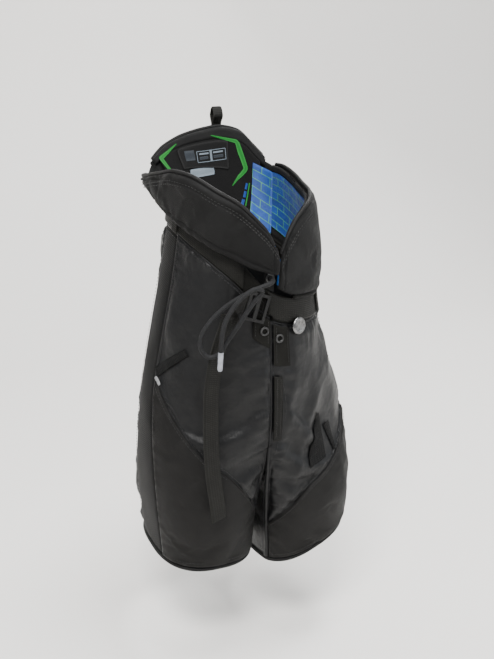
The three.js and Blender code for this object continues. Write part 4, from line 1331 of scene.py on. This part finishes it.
SHELL_PATCHES = {
    # A dark mesh strip on the right shell, painted shadow of a fold that runs from the hip towards the front.
    "side_painted_fold_shadow": ("right", MESH, [(-0.424, 0.45), (-0.3, 0.352)], [11, 8]),
    # A small pale oval patch on the right shell, just below the start of the dark strip.
    "side_pale_oval": ("right", PALE_OVAL, [(-0.421, 0.463), (-0.395, 0.478)], [4.5, 4.5]),
    "vent_front": ("left", MESH, [(0.2, 0.47), (0.19, 0.655)], [3, 17]),
    "vent_side": ("left", MESH, [(0.236, 0.53), (0.266, 0.66)], [9, 2.5]),
}
for patch_name, (shell, cloth, places, widths) in SHELL_PATCHES.items():
    corners = [(turn * PATCH_TURN, fall * PATCH_FALL) for turn, fall in places]
    ribbon(patch_name, on_shell(shell, 1.2), corners, widths, cloth, 0.5, 40)
fly_corners = np.array([(0.03, 0.27), (0.05, 0.33), (0.055, 0.4), (0.04, 0.48), (0.014, 0.56)])
fly_places = columns_at(fly_corners, np.linspace(0, 4, 60), np.arange(5)) * [PATCH_TURN, PATCH_FALL]
fly_line, fly_normals = zip(*(on_shell("left", 0.2)(*place) for place in fly_places))
obj = stitches("fly_curve_stitch", fly_line, fly_normals, THREAD, "root")

BACK_PRINTS = {
    "bracket_left": (GREEN, [(-40, 446), (-62, 429), (-53, 410)], [1.0, 4.6, 3.4]),
    "bracket_right": (GREEN, [(2, 455), (35, 446), (42, 413), (23, 394)], [1.0, 4.6, 5.4, 1.0]),
    "stripe": (GREEN, [(45, 396), (36, 370)], [1.6, 1.6]),
    "dash_upper": (BLUE_PRINT, [(41, 396), (38.5, 389)], [2.6, 2.6]),
    "dash_middle": (BLUE_PRINT, [(38, 387), (35.5, 380)], [3.0, 3.0]),
    "dash_lower": (BLUE_PRINT, [(34.5, 378), (31, 369)], [3.4, 3.4]),
}
for print_name, (ink, corners, widths) in BACK_PRINTS.items():
    ribbon(f"back_{print_name}", back_face, corners, widths, ink, 0.4, 90)
LABEL_MARKS = {
    "frame_top": (LABEL_PALE, [(-18, 436), (19, 439)], [0.7, 0.7]),
    "frame_foot": (LABEL_PALE, [(-18, 423), (19, 426)], [0.7, 0.7]),
    "frame_left": (LABEL_PALE, [(-18, 436), (-18, 423)], [0.7, 0.7]),
    "frame_right": (LABEL_PALE, [(19, 439), (19, 426)], [0.7, 0.7]),
    "frame_middle": (LABEL_PALE, [(0, 437.5), (0, 424.5)], [0.6, 0.6]),
    "bar_left": (LABEL_PALE, [(-15, 433), (-3, 434)], [1.8, 1.8]),
    "bar_right": (LABEL_PALE, [(3, 434.6), (16, 435.6)], [1.8, 1.8]),
    "row_left": (LABEL_DIM, [(-15, 428), (-4, 429)], [3.4, 3.4]),
    "row_right": (LABEL_DIM, [(3, 429.6), (16, 430.6)], [3.4, 3.4]),
    "block": (LABEL_DIM, [(-33, 431), (-21, 432)], [12, 12]),
}
for print_name, (ink, corners, widths) in LABEL_MARKS.items():
    ribbon(f"label_{print_name}", label_face, corners, widths, ink, 0.25, 24)
ribbon("back_plain_patch", back_face, [(-30, 410), (2, 414)], [10, 10], LABEL_PALE, 0.4, 24)


# --- belt, loops, buckle and tail


def belt():
    lines = fall_below(BELT_DROP), fall_below(BELT_DROP + BELT_WIDTH)
    points, normals, _, _ = body_grid((BUCKLE_TURN + 0.05, 2 + BUCKLE_TURN - 0.05), *lines, pitch=2.5)
    piece("belt", (points, normals), BELT_LIFT, BELT_THICKNESS, WEBBING, 0.8, 0.3 * bumps(points, 30, 41),
          "webbing", "waist_belt")


def belt_loops():
    lift = BELT_LIFT + LAYER_GAP + LOOP_THICKNESS
    half = 10 / 2 / (math.pi * WAIST_HALF_WIDTH)
    for name, turn in (("front_left", 0.31), ("rear_left", 0.72), ("rear_right", -0.72),
                       ("front_right", -0.44)):
        points, normals, _, _ = body_grid((turn - half, turn + half), fall_below(0.8), fall_below(28.2),
                                          pitch=1.0)
        along = cloth_coordinates(points)[..., 1]
        tuck = -0.8 * (1 - np.clip(np.minimum(along, along.max() - along) / 3.5, 0, 1)) ** 2
        piece(f"{name}_loop", (points, normals), lift, LOOP_THICKNESS, WEBBING, 0.6, tuck, "webbing",
              f"{name}_belt_loop")
        for row in (2.4, -2.4):
            at = row if row > 0 else 27.4 + row
            turns = np.linspace(turn - half * 0.8, turn + half * 0.8, 12)
            seam_stitches(f"{name}_loop_tack_{'top' if row > 0 else 'foot'}", turns,
                          fall_below(0.8 + at)(turns), lift - 0.1)


def strap_grid(route, width, across, count):
    """Points and normals of a flat strap along a route (mm)."""
    line, _ = catmull_path(route, count)
    ahead = unit(np.gradient(line, axis=0))
    wide = np.array([across(s) for s in np.linspace(0, 1, count)])
    normal = unit(np.cross(wide, ahead))
    side = np.cross(ahead, normal)
    parts = np.linspace(-0.5, 0.5, 13)
    points = line[:, None] + side[:, None] * (parts * width)[None, :, None]
    return points, np.repeat(normal[:, None], 13, 1)


FLAT = np.array([1, 0.25, 0])
TUCKED = np.array([0.3, 0, 0.95])


def belt_tail():
    def upper_across(s):
        return lerp(TUCKED, FLAT, smooth(s, 0, 0.7))

    top, top_normals = strap_grid(TAIL_UPPER_ROUTE, TAIL_WIDTH, upper_across, 46)
    low, low_normals = strap_grid(TAIL_LOWER_ROUTE, TAIL_WIDTH, lambda s: FLAT, 90)
    points = np.concatenate([top, low])
    normals = np.concatenate([top_normals, low_normals])
    obj = layer("belt_tail_webbing", points, normals, 0.8, STRAP_THICKNESS, WEBBING, None, 0.8)
    stands_for(obj, "webbing", "belt_tail_upper", "belt_tail_lower")
    bend = tuple(metres((-72, -101, 248))), tuple(metres((-72, -101, 226)))
    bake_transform(obj)
    fold = low[-11:]
    obj = layer("belt_tail_fold", fold, low_normals[-11:], 2.5, STRAP_THICKNESS, WEBBING, "belt_tail", 0.8)
    row = low[-10, 1:-1] + low_normals[-10, 1:-1] * 2.5
    obj = stitches("belt_tail_bartack", row, low_normals[-10, 1:-1], PALE_THREAD, "belt_tail", 1.4, 0.3, 0.4)


belt()
belt_loops()
belt_tail()

buckle_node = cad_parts["buckle_frame"]
bevel = buckle_node.modifiers.new("bevel", "BEVEL")
bevel.width = 0.0009
bevel.segments = 3
bevel.limit_method = "ANGLE"
buckle_node.material_slots[0].material = BUCKLE_PLASTIC


# --- fly, tab, eyelets, button, loop


STITCH_INSET = 1.9


def front_piece(name, node, bearings, upper, lower, lift, thickness, material, slot_name, rests):
    points, normals, _, _ = body_grid(bearings, upper, lower, 1.6)
    piece(name, (points, normals), lift, thickness, material, 0.8, ripple(points, 0.3, 12, 51, 4), slot_name,
          node, rests)
    rows, columns = points.shape[:2]
    edge = int(np.argmax(edge_distance(points)[rows // 2] >= STITCH_INSET))
    for label, column in (("a", edge), ("b", columns - 1 - edge)):
        line = points[2:-2, column] + normals[2:-2, column] * (lift + 0.1)
        obj = stitches(f"{name}_stitch_{label}", line, normals[2:-2, column], THREAD, "root", 2.0, 1.1, 0.26)


placket = fall_below(WAISTBAND_HEIGHT + 2)
front_piece("left_facing", "left_fly_facing", (0.006, 0.075), placket, level(0.24), LAYER_GAP + 1.6, 1.6,
            FACING, "nylon", "left_front_cloth")
front_piece("right_facing", "right_fly_facing", (-0.075, -0.006), placket, level(0.2), LAYER_GAP + 1.6,
            1.6, FACING, "nylon", "right_front_cloth")
front_piece("fly_strip", "fly_tongue", (0.005, 0.04), level(0.275), level(0.5), LAYER_GAP + 2, 2,
            WEBBING, "webbing", None)

tab_grid = body_grid((-0.03, 0.012), fall_below(-24), fall_below(-SEAM_GAP), 1.4)[:2]
piece("front_tab", tab_grid, 1, 2.4, WRAP_CLOTH, 1.2, None, "wrap", "lace_tab")

EYELET_PROFILE = [(2.9, 0), (5, 0), (5, 0.45), (4.8, 0.8), (4.3, 1.05), (3.7, 1.1), (3.15, 0.95),
                  (2.9, 0.6)]


for node, x, z, lift in (("upper_eyelet", -2, 331, 1.8), ("lower_right_eyelet", -9, 274, 3.2),
                         ("lower_left_eyelet", 8, 264, 3.2)):
    point, normal = on_front(x, z, lift)
    obj = lathe(f"{node}_ring", EYELET_PROFILE, metres(point), normal, GUNMETAL, "root", 40, True)
    stands_for(obj, "metal", node)

BUTTON_PROFILE = [(0.2, 0), (3.6, 0), (3.6, 0.8), (3, 0.8), (3, 3.9), (9, 4.15), (9.5, 4.4), (9.5, 5.3),
                  (9.2, 5.9), (8.4, 6.7), (7.8, 7.1), (7.2, 7.2), (6.4, 6.95), (4.4, 6.7), (2, 6.62),
                  (0.2, 6.6)]
point, normal = on_front(31, 274, LAYER_GAP / 2)
obj = lathe("tack_button", BUTTON_PROFILE, metres(point), normal, STEEL, "front_left_button")
stands_for(obj, "metal", "front_left_brace_button")


def hang_loop():
    column, first = 0.44, 0.8 + LAYER_GAP
    second = first + STRAP_THICKNESS + LAYER_GAP

    def on(v, lift):
        u, v = np.array(column), np.array(float(v))
        return BACK_SURFACE(u, v) + normals_of(BACK_SURFACE, u, v, 1) * lift

    rim = on(1, first)

    def above(y, z):
        return rim + np.array([0, y, z])

    route = [on(0.72, first), on(0.9, first), above(0, 4), above(-6.5, 14.4), above(0, 24),
             above(6.5, 14.4), above(second - first, 4), on(0.9, second), on(0.72, second)]
    points, normals = strap_grid(route, HANG_LOOP_WIDTH, lambda s: np.array([1.0, 0, 0]), 110)
    piece("loop_webbing", (points, normals), 0.8, STRAP_THICKNESS, WEBBING, 0.8, None, "webbing", "hang_loop")


hang_loop()

# --- floor, backdrop and light


def stage_material():
    shader = Shader("stage_plaster", Specular_IOR_Level=0.2)
    shader.color(shader.tone(1.2, 3, 0.55, (0.8, 0.785, 0.76, 1), (0.83, 0.815, 0.79, 1), 0.2, 0.8))
    shader.roughness(shader.noise(8, 2), 0.05, 0.85)
    shader.bump((shader.noise(60, 3), 0.0004))
    return shader.material


FLOOR = -0.62


def sweep():
    """A pale floor that curves up into a wall behind."""
    turn, radius = 0.9, 0.7
    profile = [(-4, 0.0), (turn, 0.0)]
    profile += [(turn + radius * math.sin(a), radius - radius * math.cos(a))
                for a in np.linspace(0, math.pi / 2, 24)[1:]]
    profile += [(turn + radius, 4.0)]
    vertices = [(x, y, FLOOR + z) for y, z in profile for x in (-5.0, 5.0)]
    faces = [(2 * i, 2 * i + 1, 2 * i + 3, 2 * i + 2) for i in range(len(profile) - 1)]
    obj = new_object("floor", vertices, faces, stage_material())


def area_light(name, location, target, size, energy, tint=(1, 1, 1)):
    data = bpy.data.lights.new(name, "AREA")
    data.shape = "RECTANGLE"
    data.size, data.size_y = size
    data.energy = energy
    data.color = tint
    light = bpy.data.objects.new(name, data)
    bpy.context.scene.collection.objects.link(light)
    light.location = location
    light.rotation_euler = (Vector(target) - Vector(location)).to_track_quat("-Z", "Y").to_euler()


sweep()
MIDDLE = (0, -0.12, -0.25)
area_light("key", (-0.7, -1.3, 1.35), MIDDLE, (0.7, 0.5), 62, (1, 0.985, 0.96))
area_light("fill", (1.6, -1.2, 0.3), MIDDLE, (1.2, 1.2), 12, (0.95, 0.98, 1))
area_light("top", (0.25, -0.35, 1.6), MIDDLE, (1.0, 0.5), 42)
area_light("rim", (0.9, 1.1, 0.6), MIDDLE, (0.8, 0.8), 12)
world = bpy.data.worlds.new("soft")
world.use_nodes = True
background = world.node_tree.nodes["Background"]
background.inputs[0].default_value = (0.93, 0.94, 0.96, 1)
background.inputs[1].default_value = 0.95
bpy.context.scene.world = world
